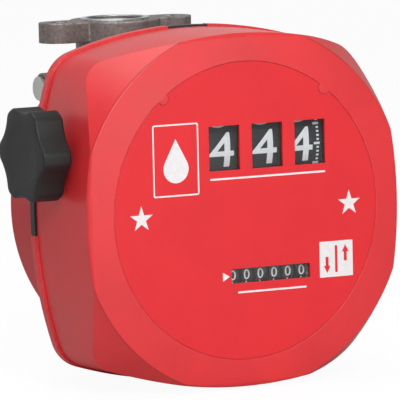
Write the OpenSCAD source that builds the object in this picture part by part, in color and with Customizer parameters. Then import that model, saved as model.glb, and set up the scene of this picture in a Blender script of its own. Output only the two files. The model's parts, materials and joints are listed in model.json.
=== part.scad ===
// In-line flow meter for diesel: a nutating disc chamber in a cast body, a reduction gear,
// a resettable three digit counter and a six digit totaliser under a moulded cover.
// The origin is the centre of the lower port's face. Z points along the flow and the dial
// faces -Y. Lengths are in millimetres.

/* [Ports] */
// Height of the meter's middle over the lower port's face
mid_z = 89; // [87:0.5:92]
// Height of the upper port's face over the meter's middle
upper_reach = 91; // [87:0.5:94]
// Radius of the threaded bore of a port
port_r = 15.15; // [13:0.05:16]
// Depth of the threaded bore
port_depth = 18; // [14:1:20]
// Radius of the machined ring round a port
port_ring_r = 18.1; // [17.5:0.1:20.5]
// Height of the machined ring over the flange
port_ring_h = 1; // [0.5:0.1:2]
// Thickness of the upper port's flange and of the lower port's collar
flange_t = 11.5; // [9:0.5:13]
// Radius of the flange's round middle and of the collar
flange_r = 23.8; // [22:0.1:27]
// Distance between the two bolt holes of the flange
bolt_pitch = 66; // [60:0.5:72]
// Radius of a bolt hole
bolt_hole_r = 4.5; // [3.5:0.1:5.5]
// Radius of the round end of the flange's ear
ear_r = 11; // [9:0.5:12]

/* [Casting] */
// Radius of the necks between flange and drum
neck_r = 21; // [19:0.5:22]
// Radius of the flow passages in the necks
passage_r = 12.5; // [10:0.5:13]
// Wall of the cast drum round the bowl
drum_wall = 4.5; // [3.5:0.25:8]
// Reach of the drum behind the port axis
drum_back = 27; // [25:0.5:32]
// Radius of the drum's flat back
drum_back_r = 34; // [28:0.5:40]
// Room between the measuring chamber and the bowl round it
bowl_room = 5.5; // [4:0.25:6]
// Distance from the port axis to the casting's front face
bowl_front = 51; // [49:0.5:52]
// Radius of the casting's front flange and of the lid
lid_r = 72; // [70:0.5:75]
// Thickness of the casting's front flange
body_flange_t = 10; // [8:0.5:11]
// Thickness of the lid
lid_t = 4; // [3:0.25:6]
// Radius of the crank housing on the lid
crank_house_r = 16; // [15:0.25:18]
// Height of the crank housing over the lid
crank_house_h = 9; // [8.5:0.25:9.5]

/* [Measuring chamber] */
// Outer radius of the measuring chamber
chamber_r = 46; // [45:0.25:48]
// Length of the measuring chamber along its axis
chamber_t = 44; // [42:0.5:46]
// Radius of the nutating disc
disc_r = 41.5; // [38:0.25:42]
// Radius of the ball in the middle of the disc
ball_r = 12; // [10:0.25:13]
// Thickness of the disc
disc_t = 3; // [2:0.1:4]
// Angle by which the disc is tilted
disc_tilt = 12.5; // [10:0.25:14]
// Thickness of the plate that divides the chamber
partition_t = 1.6; // [1:0.1:2.5]
// Radius of the disc's spindle
spindle_r = 2.5; // [2:0.1:3]
// Length of the spindle from the ball's centre
spindle_l = 27.5; // [26:0.25:28.5]

/* [Cover] */
// Distance from the port axis to the dial's face
dial_reach = 138; // [136:0.5:143]
// Distance from the port axis to the back of the cover's rim
rim_back = 75; // [74:0.25:76]
// Half width of the cover across its sides
cover_half = 90.2; // [89:0.1:91]
// How far the rim stands out past the cover's sides
rim_lip = 1.3; // [0.8:0.1:3.8]
// Thickness of the rim
rim_t = 4.8; // [4:0.1:6]
// Radius of the bowed sides
bow_r = 220; // [200:5:260]
// Radius of the cover's corners
corner_r = 20; // [16:0.5:26]
// Wall of the cover
cover_wall = 3; // [2:0.1:3.5]
// Radius of the crease round the front ring
crease_r = 94; // [93:0.1:95]
// Depth of the crease behind the dial
crease_drop = 1.8; // [1:0.1:3]
// Height of the small step at the crease
crease_step = 0.5; // [0.2:0.1:1]
// Slope of the corner facets against the axis
facet_slope = 29.5; // [26:0.5:34]
// Radius of the rounded edge between the front and the sides
front_edge_r = 2; // [1.5:0.25:4]
// Length of a notch in the rim
notch_l = 23; // [18:0.5:28]
// Room between the casting's lid and the round rear shell
shell_room = 10; // [8:0.5:12]
// Wall of the rear shell
shell_wall = 3; // [2:0.1:4]
// Thickness of the black base plate
base_t = 3; // [2.5:0.1:4]

/* [Dial] */
// Radius of the dial
dial_r = 76; // [74:0.25:78]
// Depth of the recess that the dial sits in
dial_t = 1.2; // [0.8:0.1:1.6]
// Depth of the dial's face behind the cover round it
dial_drop = 0.2; // [0.1:0.05:0.4]
// Thickness of the cover's floor behind the dial
floor_t = 2.4; // [2:0.1:3]
// Thickness of the window pane
lens_t = 1; // [0.8:0.1:1.4]
// Width of a big window
window_w = 17.8; // [16:0.1:19]
// Height of a big window
window_h = 22.7; // [21:0.1:25]
// Distance between two big windows
window_pitch = 24.93; // [24.5:0.01:26]
// Middle of the three big windows, right of the dial's centre
window_x = 12.83; // [11:0.01:14]
// Middle of the big windows over the dial's centre
window_rise = 32.5; // [31:0.25:34]
// Width of the totaliser's window
total_window_w = 45.9; // [44:0.1:47]
// Height of the totaliser's window
total_window_h = 7.4; // [6.5:0.1:8]
// Middle of the totaliser's window, right of the dial's centre
total_x = 13.45; // [12:0.05:15]
// Middle of the totaliser's window under the dial's centre
total_drop = 33.1; // [32:0.1:34]

/* [Knob] */
// Radius of the knob at a lobe's crest
knob_r = 25; // [22:0.25:26]
// Depth of a valley between two lobes
knob_valley = 2.7; // [2:0.1:4]
// Thickness of the knob
knob_t = 16.2; // [14:0.25:18]
// Gap between the knob and the cover's side
knob_gap = 2.4; // [2:0.1:4]
// Chamfer of the knob's edges
knob_chamfer = 1.2; // [0.5:0.1:2]
// Radius of the reset shaft
reset_shaft_r = 4; // [3.5:0.1:4.5]

/* [Counter] */
// Radius of a number wheel
wheel_r = 32.5; // [31.5:0.1:33]
// Gap between the dial's face and the number wheels
wheel_gap = 4.6; // [4.5:0.05:5.5]
// Width of a number wheel's printed rim
wheel_w = 19; // [18:0.1:20]
// Thickness of a number wheel's rim
wheel_wall = 2; // [1.5:0.1:2.5]
// Module of the carry teeth between two number wheels
carry_module = 2.75; // [2.6:0.05:2.8]
// Angle of the carry shaft from straight over the number wheels towards the back
carry_lean = 15; // [10:1:20]
// Radius of a totaliser wheel
total_r = 9.5; // [9:0.1:9.8]
// Distance between two totaliser wheels
total_pitch = 8; // [7.8:0.05:8.2]
// Gap between the dial's face and the totaliser wheels
total_gap = 4.6; // [4.5:0.05:5.5]
// Module of the totaliser's gears and carry teeth
total_module = 0.8; // [0.75:0.05:0.8]
// Number of totaliser wheels
total_count = 6; // [4:1:6]
// Thickness of the side plates
plate_t = 1.5; // [1:0.1:2]

/* [Gears] */
// Module of the gears between the layshaft and the number wheels
counter_module = 1; // [0.95:0.01:1.02]
// Teeth of the gears between the layshaft and the number wheels
counter_teeth = 44; // [44:1:45]
// Angle of the layshaft from straight under the number wheels towards the back
lay_lean = 30; // [29:0.5:30]
// Module of the first gear pair
first_module = 0.5; // [0.48:0.01:0.52]
// Teeth of the drive pinion
first_pinion_teeth = 12; // [12:1:14]
// Teeth of the reduction gear
first_gear_teeth = 90; // [88:1:94]
// Module of the worm and its wheel
worm_module = 1; // [0.9:0.02:1.1]
// Teeth of the worm wheel
worm_teeth = 20; // [18:1:22]
// Pitch radius of the worm
worm_r = 4; // [3.6:0.1:4.4]
// Width of a gear's teeth
gear_w = 3; // [2:0.1:3.2]

/* [Hidden] */
$fn = 64;
fine_fn = 128;

// Overrun of every cut
over = 1;
// Radial clearance of a shaft that turns in its bore
run_gap = 0.05;
// Clearance between pieces that pass each other
pass_gap = 0.4;
// Clearance of a piece that drops into a pocket
fit_gap = 0.15;

// Colours
red = [0.86, 0.18, 0.2];
black = [0.12, 0.12, 0.13];
casting = [0.52, 0.48, 0.46];
steel = [0.74, 0.75, 0.76];
brass = [0.78, 0.62, 0.32];
white_plastic = [0.88, 0.88, 0.85];
rubber = [0.08, 0.08, 0.08];

// A frame whose z axis points to the reader, with x right, y up and z = 0 at the port axis
module facing() {
    translate([0, 0, mid_z]) rotate([90, 0, 0]) children();
}

// A frame whose z axis is the world's X, at a point given as [Y, Z] in the world
module across(point) {
    translate([0, point[0], point[1]]) rotate([90, 0, 90]) children();
}

// A ring or tube from one height to another
module tube(outer, inner, low, high) {
    translate([0, 0, low]) difference() {
        cylinder(r = outer, h = high - low);
        translate([0, 0, -over]) cylinder(r = inner, h = high - low + 2 * over);
    }
}

// A solid round bar from one height to another
module bar(radius, low, high) {
    translate([0, 0, low]) cylinder(r = radius, h = high - low);
}

// A box given by its low and high corners
module block(low, high) {
    translate(low) cube(high - low);
}

// Involute gears
function involute_angle(r, base_r) =
    r <= base_r ? 0 : let (c = acos(base_r / r)) tan(c) * 180 / PI - c;
pressure_angle = 20;
flank_steps = 4;

// Outline of a gear, with a tooth centred on the x axis
// thin is the share of the half pitch that a tooth fills
module gear_2d(teeth, module_size, addendum_share, dedendum_share, thin_share) {
    pitch_r = module_size * teeth / 2;
    base_r = pitch_r * cos(pressure_angle);
    tip_r = pitch_r + addendum_share * module_size;
    root_r = pitch_r - dedendum_share * module_size;
    start_r = max(base_r, root_r);
    half = 90 / teeth * thin_share + involute_angle(pitch_r, base_r);
    radii = [for (i = [0:flank_steps - 1]) start_r + (tip_r - start_r) * i / (flank_steps - 1)];
    polygon([for (k = [0:teeth - 1]) let (c = 360 * k / teeth)
        each concat(
            [root_r * [cos(c - half), sin(c - half)]],
            [for (r = radii) let (a = c - half + involute_angle(r, base_r)) r * [cos(a), sin(a)]],
            [for (i = [flank_steps - 1:-1:0])
                let (r = radii[i], a = c + half - involute_angle(r, base_r)) r * [cos(a), sin(a)]],
            [root_r * [cos(c + half), sin(c + half)]])]);
}

gear_add_share = 0.85;
gear_ded_share = 1.2;
gear_thin_share = 0.86;

// A gear with a bore, from one height to another, turned by an angle, with a hub behind it
module gear(teeth, module_size, bore_r, low, high, turn, hub_radius = 0, hub_l = 0) {
    rotate(turn) difference() {
        union() {
            translate([0, 0, low]) linear_extrude(high - low)
                gear_2d(teeth, module_size, gear_add_share, gear_ded_share, gear_thin_share);
            if (hub_radius > 0) bar(hub_radius, low - hub_l, high);
        }
        bar(bore_r, low - hub_l - over, high + over);
    }
}

// Angle of gear b so that it meshes with gear a, which has a tooth at angle_a,
// where b lies from a in the direction toward
function mesh_angle(angle_a, toward, teeth_a, teeth_b) =
    toward + 180 - (angle_a - toward) * teeth_a / teeth_b + 180 / teeth_b;

// Direction from one point to another, and their distance
function direction(a, b) = atan2(b[1] - a[1], b[0] - a[0]);
function polar(r, angle) = r * [cos(angle), sin(angle)];

// The point at distance ra from a and rb from b, to the right of the way from a to b
function meeting_point(a, ra, b, rb) =
    let (d = norm(b - a), along = (ra * ra - rb * rb + d * d) / (2 * d),
         off = sqrt(max(0, ra * ra - along * along)), u = (b - a) / d)
    a + along * u + off * [u[1], -u[0]];

// Outline of the cover: a square with bowed sides and round corners
function corner_centre(half, corner) =
    let (c = half - bow_r) (c + sqrt(2 * (bow_r - corner) * (bow_r - corner) - c * c)) / 2;

module bowed_square(half, corner) {
    side_centre = half - bow_r;
    k = corner_centre(half, corner);
    a = atan2(k, k - side_centre);
    far = half + corner;
    difference() {
        intersection() {
            translate([side_centre, 0]) circle(r = bow_r, $fn = fine_fn);
            translate([-side_centre, 0]) circle(r = bow_r, $fn = fine_fn);
            translate([0, side_centre]) circle(r = bow_r, $fn = fine_fn);
            translate([0, -side_centre]) circle(r = bow_r, $fn = fine_fn);
        }
        for (turn = [0:90:270]) rotate(turn) translate([k, k])
            polygon([[0, 0], polar(far, a), [far, far], polar(far, 90 - a)]);
    }
    for (turn = [0:90:270]) rotate(turn) translate([k, k]) circle(r = corner);
}

// Places on the number wheels' side of the meter, as [Y, Z]
wheel_axis = [-(dial_reach - wheel_gap - wheel_r), mid_z + window_rise];
total_axis = [-(dial_reach - total_gap - total_r), mid_z - total_drop];
counter_mesh = counter_module * counter_teeth;
lay_axis = wheel_axis + counter_mesh * [sin(lay_lean), -cos(lay_lean)];

// Carry between number wheels: a ring of 20 teeth, a pinion of 6
carry_ring_teeth = 20;
carry_pinion_teeth = 6;
carry_mesh = carry_module * (carry_ring_teeth + carry_pinion_teeth) / 2;
transfer_axis = wheel_axis + carry_mesh * [sin(carry_lean), cos(carry_lean)];
total_carry_mesh = total_module * (carry_ring_teeth + carry_pinion_teeth) / 2;
total_carry_lean = -30;
total_transfer_axis = total_axis + polar(total_carry_mesh, total_carry_lean);

// First gear pair and worm
first_mesh = first_module * (first_pinion_teeth + first_gear_teeth) / 2;
worm_mesh = worm_r + worm_module * worm_teeth / 2;
worm_z = lay_axis[1] - worm_mesh;
worm_x = sqrt(first_mesh * first_mesh - (mid_z - worm_z) * (mid_z - worm_z));
worm_lead = PI * worm_module;
worm_turns = 5;
worm_l = worm_turns * worm_lead;
worm_shaft_r = 1.6;
worm_sides = 16;
worm_slices = 10;
worm_relief_share = 0.1;
worm_boss_r = 3.8;

// Drive of the totaliser
total_gear_teeth = 20;
total_span = norm(lay_axis - total_axis);
idler_spare_share = 0.2;
idler_teeth = ceil((total_span / total_module - total_gear_teeth) / 2 + idler_spare_share);
idler_end_mesh = total_module * (total_gear_teeth + idler_teeth) / 2;
idler_mid_mesh = total_module * idler_teeth;
idler_bend = 8;
idler_1_axis = lay_axis + polar(idler_end_mesh, direction(lay_axis, total_axis) + idler_bend);
idler_2_axis = meeting_point(idler_1_axis, idler_mid_mesh, total_axis, idler_end_mesh);

// Places along X
carry_w = (window_pitch - wheel_w) / 2 - pass_gap / 2;
units_x = window_x + window_pitch;
tens_x = window_x;
hundreds_x = window_x - window_pitch;
wheel_half = wheel_w / 2;
wheel_side = wheel_half + carry_w;
plate_left_x = hundreds_x - wheel_side - 2 * pass_gap;
counter_gear_x = units_x + wheel_side + pass_gap;
plate_right_x = counter_gear_x + gear_w + 2 * pass_gap;
total_carry_w = 1;
total_first_x = total_x + total_pitch * (total_count - 1) / 2;
total_side = (total_pitch - pass_gap) / 2;
total_half = total_side - total_carry_w;
total_gear_x = total_first_x + total_side;
drive_gear_x = total_gear_x + pass_gap;

// Places along the dial's axis, in front of the port axis
chamber_mid = bowl_front - chamber_t / 2;
chamber_back = bowl_front - chamber_t;
lid_front = bowl_front + lid_t;
house_front = lid_front + crank_house_h;
house_wall = 3;
crank_under = 3;
crank_t = 5.5;
crank_r = 10.4;
crank_low = chamber_mid + spindle_l * cos(disc_tilt) - crank_under;
crank_high = crank_low + crank_t;
seal_t = 1.6;
bush_t = 3.4;
bush_r = 4.5;
bush_low = house_front - seal_t - bush_t;
drive_shaft_r = 2.5;
pinion_seat_r = 1.5;
first_gear_gap = 0.6;
first_gear_low = house_front + first_gear_gap;
first_gear_w = 2.5;
first_gear_high = first_gear_low + first_gear_w;
base_front = rim_back + base_t;
lens_front = dial_reach - dial_t;
floor_back = lens_front - floor_t;
worm_front = -lay_axis[0] + worm_l / 2;
worm_back = -lay_axis[0] - worm_l / 2;

// Screws, their holes and bosses
seat_gap = 0.02;
screw_r = 2.4;
screw_hole_r = 2.8;
pilot_r = screw_r + run_gap;
head_r = 4.4;
head_h = 3;
small_screw_r = 1.45;
small_head_r = 2.7;
small_head_h = 1.8;
small_hole_r = 1.7;
pillar_r = 4.8;
pillar_ring_r = lid_r - pillar_r - 2 * fit_gap;
pillar_angles = [75, 135, 225, 315];
pillar_pilot = 12;
body_screw_count = 6;
bowl_r = chamber_r + bowl_room;
drum_case_r = bowl_r + drum_wall;
body_screw_ring_r = (bowl_r + lid_r) / 2;
body_screw_end = 1.5;
body_screw_l = lid_t + body_flange_t - body_screw_end;
groove_offset = 2.4;
groove_w = 2.2;
groove_d = 1.4;
case_boss_r = 5;
case_screw_l = 16;
case_pilot = 18;
rim_half = cover_half + rim_lip;
wall_corner_r = corner_r - rim_lip;
shell_r = lid_r + shell_room + shell_wall;
inner_half = cover_half - cover_wall;
inner_corner_r = wall_corner_r - cover_wall;
inner_reach = corner_centre(inner_half, inner_corner_r) * sqrt(2) + inner_corner_r;
case_screw_ring_r = inner_reach - case_boss_r - 3 * pass_gap;

// A row of copies round the z axis
module around(radius, angles) {
    for (a = angles) rotate(a) translate([radius, 0, 0]) children();
}

cross_l_share = 1.1;
cross_w_share = 0.2;

// A screw with its head over z = 0 and its shank under it
module screw(head_radius, head_height, shank_radius, shank_length) {
    difference() {
        bar(head_radius, 0, head_height);
        for (a = [0, 90]) rotate(a) translate([0, 0, head_height])
            cube([head_radius * cross_l_share, head_radius * cross_w_share, head_height], center = true);
    }
    bar(shank_radius, -shank_length, 0);
}

// Casting
strainer_ledge = 1.5;
strainer_seat_r = passage_r + strainer_ledge;
strainer_seat_t = 2;
calibration_rise = 56;
calibration_boss_r = 8;
drum_floor = 6;
calibration_boss_l = 44;
calibration_bore_r = 5;
calibration_bore_l = 18;
calibration_seat_r = 3;
plug_head_r = 6.25;
plug_head_t = 1.7;
plug_seal_t = 0.8;
plug_l = 5.5;
calibration_axis = [0, mid_z + calibration_rise];

// A port with its face at z = 0, the meter's middle at the height reach, and a flange or a collar
module port_shape(reach, flanged) {
    bar(port_ring_r, 0, flange_t);
    translate([0, 0, port_ring_h]) linear_extrude(flange_t - port_ring_h) {
        circle(r = flange_r);
        if (flanged) {
            square([bolt_pitch, 2 * ear_r], center = true);
            for (side = [-1, 1]) translate([side * bolt_pitch / 2, 0]) circle(r = ear_r);
        }
    }
    bar(neck_r, flange_t / 2, reach - passage_r);
}

module port_cuts(reach, flanged) {
    bar(port_r, -over, port_depth);
    bar(strainer_seat_r, port_depth - over, port_depth + strainer_seat_t);
    bar(passage_r, port_depth, reach - bowl_r + passage_r);
    if (flanged) for (side = [-1, 1]) translate([side * bolt_pitch / 2, 0, 0])
        bar(bolt_hole_r, -over, flange_t + over);
}

module top_port() {
    translate([0, 0, mid_z + upper_reach]) mirror([0, 0, 1]) children();
}

// The drum's back narrows behind the bowl's floor
module drum_profile() {
    polygon([[0, -drum_back], [drum_back_r, -drum_back], [drum_case_r, chamber_back - drum_floor],
             [drum_case_r, bowl_front], [0, bowl_front]]);
    translate([0, bowl_front - body_flange_t]) square([lid_r, body_flange_t]);
}

module meter_body() {
    color(casting) difference() {
        union() {
            facing() rotate_extrude($fn = fine_fn) drum_profile();
            port_shape(mid_z, false);
            top_port() port_shape(upper_reach, true);
            across(calibration_axis) bar(calibration_boss_r, -calibration_boss_l, 0);
        }
        facing() bar(bowl_r, chamber_back, bowl_front + over);
        facing() tube(bowl_r + groove_offset + groove_w, bowl_r + groove_offset,
                      bowl_front - groove_d, bowl_front + over);
        facing() around(body_screw_ring_r, [for (i = [1:body_screw_count]) 360 * i / body_screw_count])
            bar(pilot_r, bowl_front - body_flange_t + screw_r / 2, bowl_front + over);
        port_cuts(mid_z, false);
        top_port() port_cuts(upper_reach, true);
        across(calibration_axis) {
            bar(calibration_bore_r, -calibration_boss_l - over, calibration_bore_l - calibration_boss_l);
            bar(calibration_seat_r, -calibration_boss_l, 0);
        }
    }
}

module body_seal() {
    color(rubber) facing()
        tube(bowl_r + groove_offset + groove_w - seat_gap, bowl_r + groove_offset + seat_gap,
             bowl_front - groove_d, bowl_front);
}

module body_cover() {
    color(casting) facing() difference() {
        union() {
            bar(lid_r, bowl_front, lid_front);
            bar(crank_house_r, bowl_front, house_front);
            around(pillar_ring_r, pillar_angles) bar(pillar_r, bowl_front, rim_back);
            translate([worm_x, worm_z - mid_z, 0]) bar(worm_boss_r, bowl_front, first_gear_low - pass_gap);
        }
        bar(crank_house_r - house_wall, bowl_front - over, bush_low);
        bar(bush_r + seat_gap, bush_low - over, house_front + over);
        around(pillar_ring_r, pillar_angles) bar(pilot_r, rim_back - pillar_pilot, rim_back + over);
        around(body_screw_ring_r, [for (i = [1:body_screw_count]) 360 * i / body_screw_count])
            bar(screw_hole_r, bowl_front - over, lid_front + over);
        translate([worm_x, worm_z - mid_z, 0])
            bar(worm_shaft_r + run_gap, lid_front + worm_boss_r, house_front + over);
    }
}

module body_screws() {
    color(steel) facing()
        around(body_screw_ring_r, [for (i = [1:body_screw_count]) 360 * i / body_screw_count])
        translate([0, 0, lid_front]) screw(head_r, head_h, screw_r, body_screw_l);
}

// Measuring chamber
cone_gap = 0.3;
ball_gap = 0.1;
rim_gap = 0.35;
slot_gap = 1.15;
spindle_hole_r = 8.4;
chamber_rib_w = 6;
chamber_port_w = 18;
chamber_port_h = 7;
chamber_port_angle = 38;
cavity_r = disc_r + rim_gap;
cone_lift = (disc_t / 2 + cone_gap) / cos(disc_tilt);

module cavity_profile(inner) {
    far = cavity_r + over;
    intersection() {
        polygon([[inner, -cone_lift - inner * tan(disc_tilt)], [far, -cone_lift - far * tan(disc_tilt)],
                 [far, cone_lift + far * tan(disc_tilt)], [inner, cone_lift + inner * tan(disc_tilt)]]);
        circle(r = cavity_r);
    }
}

partition_tongue = 1.8;

module chamber_solid(low, high) {
    difference() {
        union() {
            bar(chamber_r, low, high);
            for (side = [-1, 1])
                translate([side * (bowl_r - fit_gap - (bowl_r - chamber_r) / 2), 0, (low + high) / 2])
                    cube([bowl_r - chamber_r, chamber_rib_w, high - low], center = true);
        }
        translate([0, 0, chamber_mid]) {
            rotate_extrude($fn = fine_fn) cavity_profile(0);
            sphere(r = ball_r + ball_gap);
            for (side = [-1, 1]) rotate(180 + side * chamber_port_angle)
                translate([cavity_r, 0, 0])
                    cube([2 * (bowl_r - cavity_r), chamber_port_w, 2 * chamber_port_h], center = true);
            translate([-cavity_r - partition_tongue / 2, 0, 0])
                cube([partition_tongue + 2 * rim_gap, partition_t + 2 * seat_gap,
                      2 * cone_lift + 2 * cavity_r * sin(disc_tilt)], center = true);
        }
    }
}

module chamber_rear() {
    color(white_plastic) facing() chamber_solid(chamber_back, chamber_mid);
}

module chamber_front() {
    color(white_plastic) facing() difference() {
        chamber_solid(chamber_mid, bowl_front);
        bar(spindle_hole_r, chamber_mid, bowl_front + over);
    }
}

module partition_plate() {
    color(steel) facing() translate([0, partition_t / 2, chamber_mid]) rotate([90, 0, 0])
        linear_extrude(partition_t) mirror([1, 0]) {
            cavity_profile(ball_r + 2 * rim_gap);
            translate([cavity_r - cone_lift, -cone_lift])
                square([cone_lift + partition_tongue, 2 * cone_lift]);
        }
}

module nutating_disc() {
    slot_w = partition_t + 2 * slot_gap;
    color(black) facing() translate([0, 0, chamber_mid]) rotate([disc_tilt, 0, 0]) {
        difference() {
            intersection() {
                bar(disc_r + over, -disc_t / 2, disc_t / 2);
                sphere(r = disc_r, $fn = fine_fn);
            }
            translate([-disc_r - over, -slot_w / 2, -disc_t])
                cube([disc_r + over - ball_r + disc_t / 2, slot_w, 2 * disc_t]);
        }
        sphere(r = ball_r);
        bar(spindle_r, 0, spindle_l);
    }
}

// Way out of the wet side
module drive_crank() {
    color(steel) facing() difference() {
        union() {
            bar(crank_r, crank_low, crank_high);
            bar(drive_shaft_r, crank_low, first_gear_low - pass_gap / 2);
            bar(pinion_seat_r, crank_low, first_gear_high + pass_gap);
        }
        translate([0, 0, chamber_mid]) rotate([disc_tilt, 0, 0])
            bar(spindle_r + run_gap, 0, spindle_l + 2 * pass_gap);
    }
}

module shaft_bush() {
    color(brass) facing() tube(bush_r, drive_shaft_r + run_gap, bush_low, house_front - seal_t);
}

module shaft_seal() {
    color(rubber) facing() tube(bush_r, drive_shaft_r + run_gap, house_front - seal_t, house_front);
}

drive_angle = 0;
worm_direction = direction([0, 0], [worm_x, worm_z - mid_z]);

module drive_pinion() {
    color(brass) facing()
        gear(first_pinion_teeth, first_module, pinion_seat_r + seat_gap,
             first_gear_low, first_gear_high, drive_angle);
}

reduction_holes = 5;
reduction_hole_share = 0.6;
reduction_hole_r = 4;

module reduction_gear() {
    pitch_r = first_module * first_gear_teeth / 2;
    color(white_plastic) facing() translate([worm_x, worm_z - mid_z, 0]) difference() {
        gear(first_gear_teeth, first_module, worm_shaft_r + seat_gap, first_gear_low, first_gear_high,
             mesh_angle(drive_angle, worm_direction, first_pinion_teeth, first_gear_teeth));
        around(pitch_r * reduction_hole_share, [for (i = [1:reduction_holes]) 360 * i / reduction_holes])
            bar(reduction_hole_r, first_gear_low - over, first_gear_high + over);
    }
}

bracket_t = 1.5;
bracket_w = 12;
bracket_foot_l = 8;
bracket_low = worm_z - mid_z - worm_r - 4 * worm_module - bracket_t;

module worm() {
    color(steel) facing() translate([worm_x, worm_z - mid_z, 0]) {
        bar(worm_shaft_r, lid_front + worm_boss_r + pass_gap, worm_front + pass_gap + bracket_t);
        translate([0, 0, worm_back]) rotate(180 * worm_turns - 90)
            linear_extrude(height = worm_l, twist = 360 * worm_turns, slices = worm_slices * worm_turns,
                           $fn = worm_sides)
                translate([worm_module, 0])
                    circle(r = worm_r - worm_relief_share * worm_module, $fn = worm_sides);
    }
}

module worm_bracket() {
    half = bracket_w / 2;
    top = worm_front + pass_gap;
    color(steel) facing() difference() {
        translate([worm_x, 0, 0]) {
            block([-half, bracket_low - bracket_foot_l, base_front],
                  [half, bracket_low + bracket_t, base_front + bracket_t]);
            block([-half, bracket_low, base_front], [half, bracket_low + bracket_t, top + bracket_t]);
            block([-half, bracket_low, top],
                  [half, worm_z - mid_z + worm_boss_r, top + bracket_t]);
        }
        translate([worm_x, worm_z - mid_z, 0])
            bar(worm_shaft_r + run_gap, top - over, top + bracket_t + over);
        translate([worm_x, bracket_low - bracket_foot_l / 2, 0])
            bar(small_hole_r, base_front - over, base_front + bracket_t + over);
    }
}

// Layshaft
lay_shaft_r = 2;
total_shaft_r = 2;
worm_wheel_w = 2.4;
worm_add_share = 0.7;
worm_thin_share = 0.6;

module layshaft() {
    color(steel) across(lay_axis) bar(lay_shaft_r, plate_left_x - plate_t, plate_right_x + plate_t);
}

module worm_wheel() {
    color(brass) across(lay_axis) translate([0, 0, worm_x]) difference() {
        union() {
            translate([0, 0, -worm_wheel_w / 2]) rotate(-90)
                linear_extrude(worm_wheel_w)
                    gear_2d(worm_teeth, worm_module, worm_add_share, gear_ded_share, worm_thin_share);
            bar(2 * lay_shaft_r, -worm_wheel_w, worm_wheel_w);
        }
        bar(lay_shaft_r + seat_gap, -worm_wheel_w - over, worm_wheel_w + over);
    }
}

module layshaft_gear() {
    color(white_plastic) across(lay_axis)
        gear(counter_teeth, counter_module, lay_shaft_r + seat_gap,
             counter_gear_x, counter_gear_x + gear_w, 0);
}

module layshaft_pinion() {
    color(white_plastic) across(lay_axis)
        gear(total_gear_teeth, total_module, lay_shaft_r + seat_gap,
             drive_gear_x, drive_gear_x + gear_w, 0);
}

idler_1_angle = mesh_angle(0, direction(lay_axis, idler_1_axis), total_gear_teeth, idler_teeth);
idler_2_angle = mesh_angle(idler_1_angle, direction(idler_1_axis, idler_2_axis), idler_teeth, idler_teeth);
total_gear_angle = mesh_angle(idler_2_angle, direction(idler_2_axis, total_axis),
                              idler_teeth, total_gear_teeth);
stud_r = 1.6;
collar_r = 3;
link_r = 4.5;
link_waist_share = 0.7;
idler_plate_x = drive_gear_x + gear_w + pass_gap;

module idler_gear_1() {
    color(white_plastic) across(idler_1_axis)
        gear(idler_teeth, total_module, stud_r + run_gap,
             drive_gear_x, drive_gear_x + gear_w, idler_1_angle);
}

module idler_gear_2() {
    color(white_plastic) across(idler_2_axis)
        gear(idler_teeth, total_module, stud_r + run_gap,
             drive_gear_x, drive_gear_x + gear_w, idler_2_angle);
}

module idler_studs() {
    color(steel) for (place = [idler_1_axis, idler_2_axis]) across(place) {
        bar(stud_r, drive_gear_x - pass_gap, idler_plate_x + plate_t);
        bar(collar_r, drive_gear_x - pass_gap - plate_t, drive_gear_x - pass_gap);
    }
}

// A link plate on the layshaft and the totaliser's shaft, which carries the two studs
module idler_plate() {
    places = [lay_axis, idler_1_axis, idler_2_axis, total_axis];
    holes = [lay_shaft_r + run_gap, stud_r + seat_gap, stud_r + seat_gap, total_shaft_r + seat_gap];
    color(steel) across([0, 0]) translate([0, 0, idler_plate_x]) linear_extrude(plate_t) difference() {
        union() {
            for (place = places) translate(place) circle(r = link_r);
            for (i = [1:len(places) - 1]) translate(places[i - 1])
                rotate(direction(places[i - 1], places[i])) translate([0, -link_waist_share * link_r])
                    square([norm(places[i] - places[i - 1]), 2 * link_waist_share * link_r]);
        }
        for (i = [0:len(places) - 1]) translate(places[i]) circle(r = holes[i]);
    }
}

module total_gear() {
    color(white_plastic) across(total_axis)
        gear(total_gear_teeth, total_module, total_shaft_r + run_gap,
             drive_gear_x, drive_gear_x + gear_w, total_gear_angle, 2 * total_shaft_r, pass_gap);
}

// Number wheels
hub_r = 8;
web_t = 2;
transfer_direction = direction(wheel_axis, transfer_axis);
carry_add_share = 0.7;
carry_tip_share = 0.8;
carry_ded_share = 1.1;
carry_pinion_ded_share = 1;
carry_thin_share = 0.8;
carry_gap_share = 0.125;
carry_digit = 9;
digit_step = 36;

// The ring of teeth of a wheel, in mesh with a pinion that lies in the direction toward
module carry_ring_2d(module_size, toward) {
    rotate(toward + 180 / carry_ring_teeth)
        gear_2d(carry_ring_teeth, module_size, carry_add_share, carry_ded_share, carry_thin_share);
}

// The disc with two teeth that moves the next wheel on before the wheel comes back to 0
module carry_segment_2d(module_size, toward, mesh, digit) {
    pinion_tip = module_size * (carry_pinion_teeth / 2 + carry_tip_share);
    far = module_size * carry_ring_teeth;
    middle = toward + (carry_digit - digit) * digit_step;
    circle(r = mesh - pinion_tip - carry_gap_share * module_size);
    intersection() {
        carry_ring_2d(module_size, toward);
        polygon([[0, 0], polar(far, middle - digit_step / 2), polar(far, middle),
                 polar(far, middle + digit_step / 2)]);
    }
}

module carry_pinion_2d(module_size, toward) {
    rotate(toward + 180)
        gear_2d(carry_pinion_teeth, module_size, carry_tip_share, carry_pinion_ded_share, carry_thin_share);
}

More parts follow.
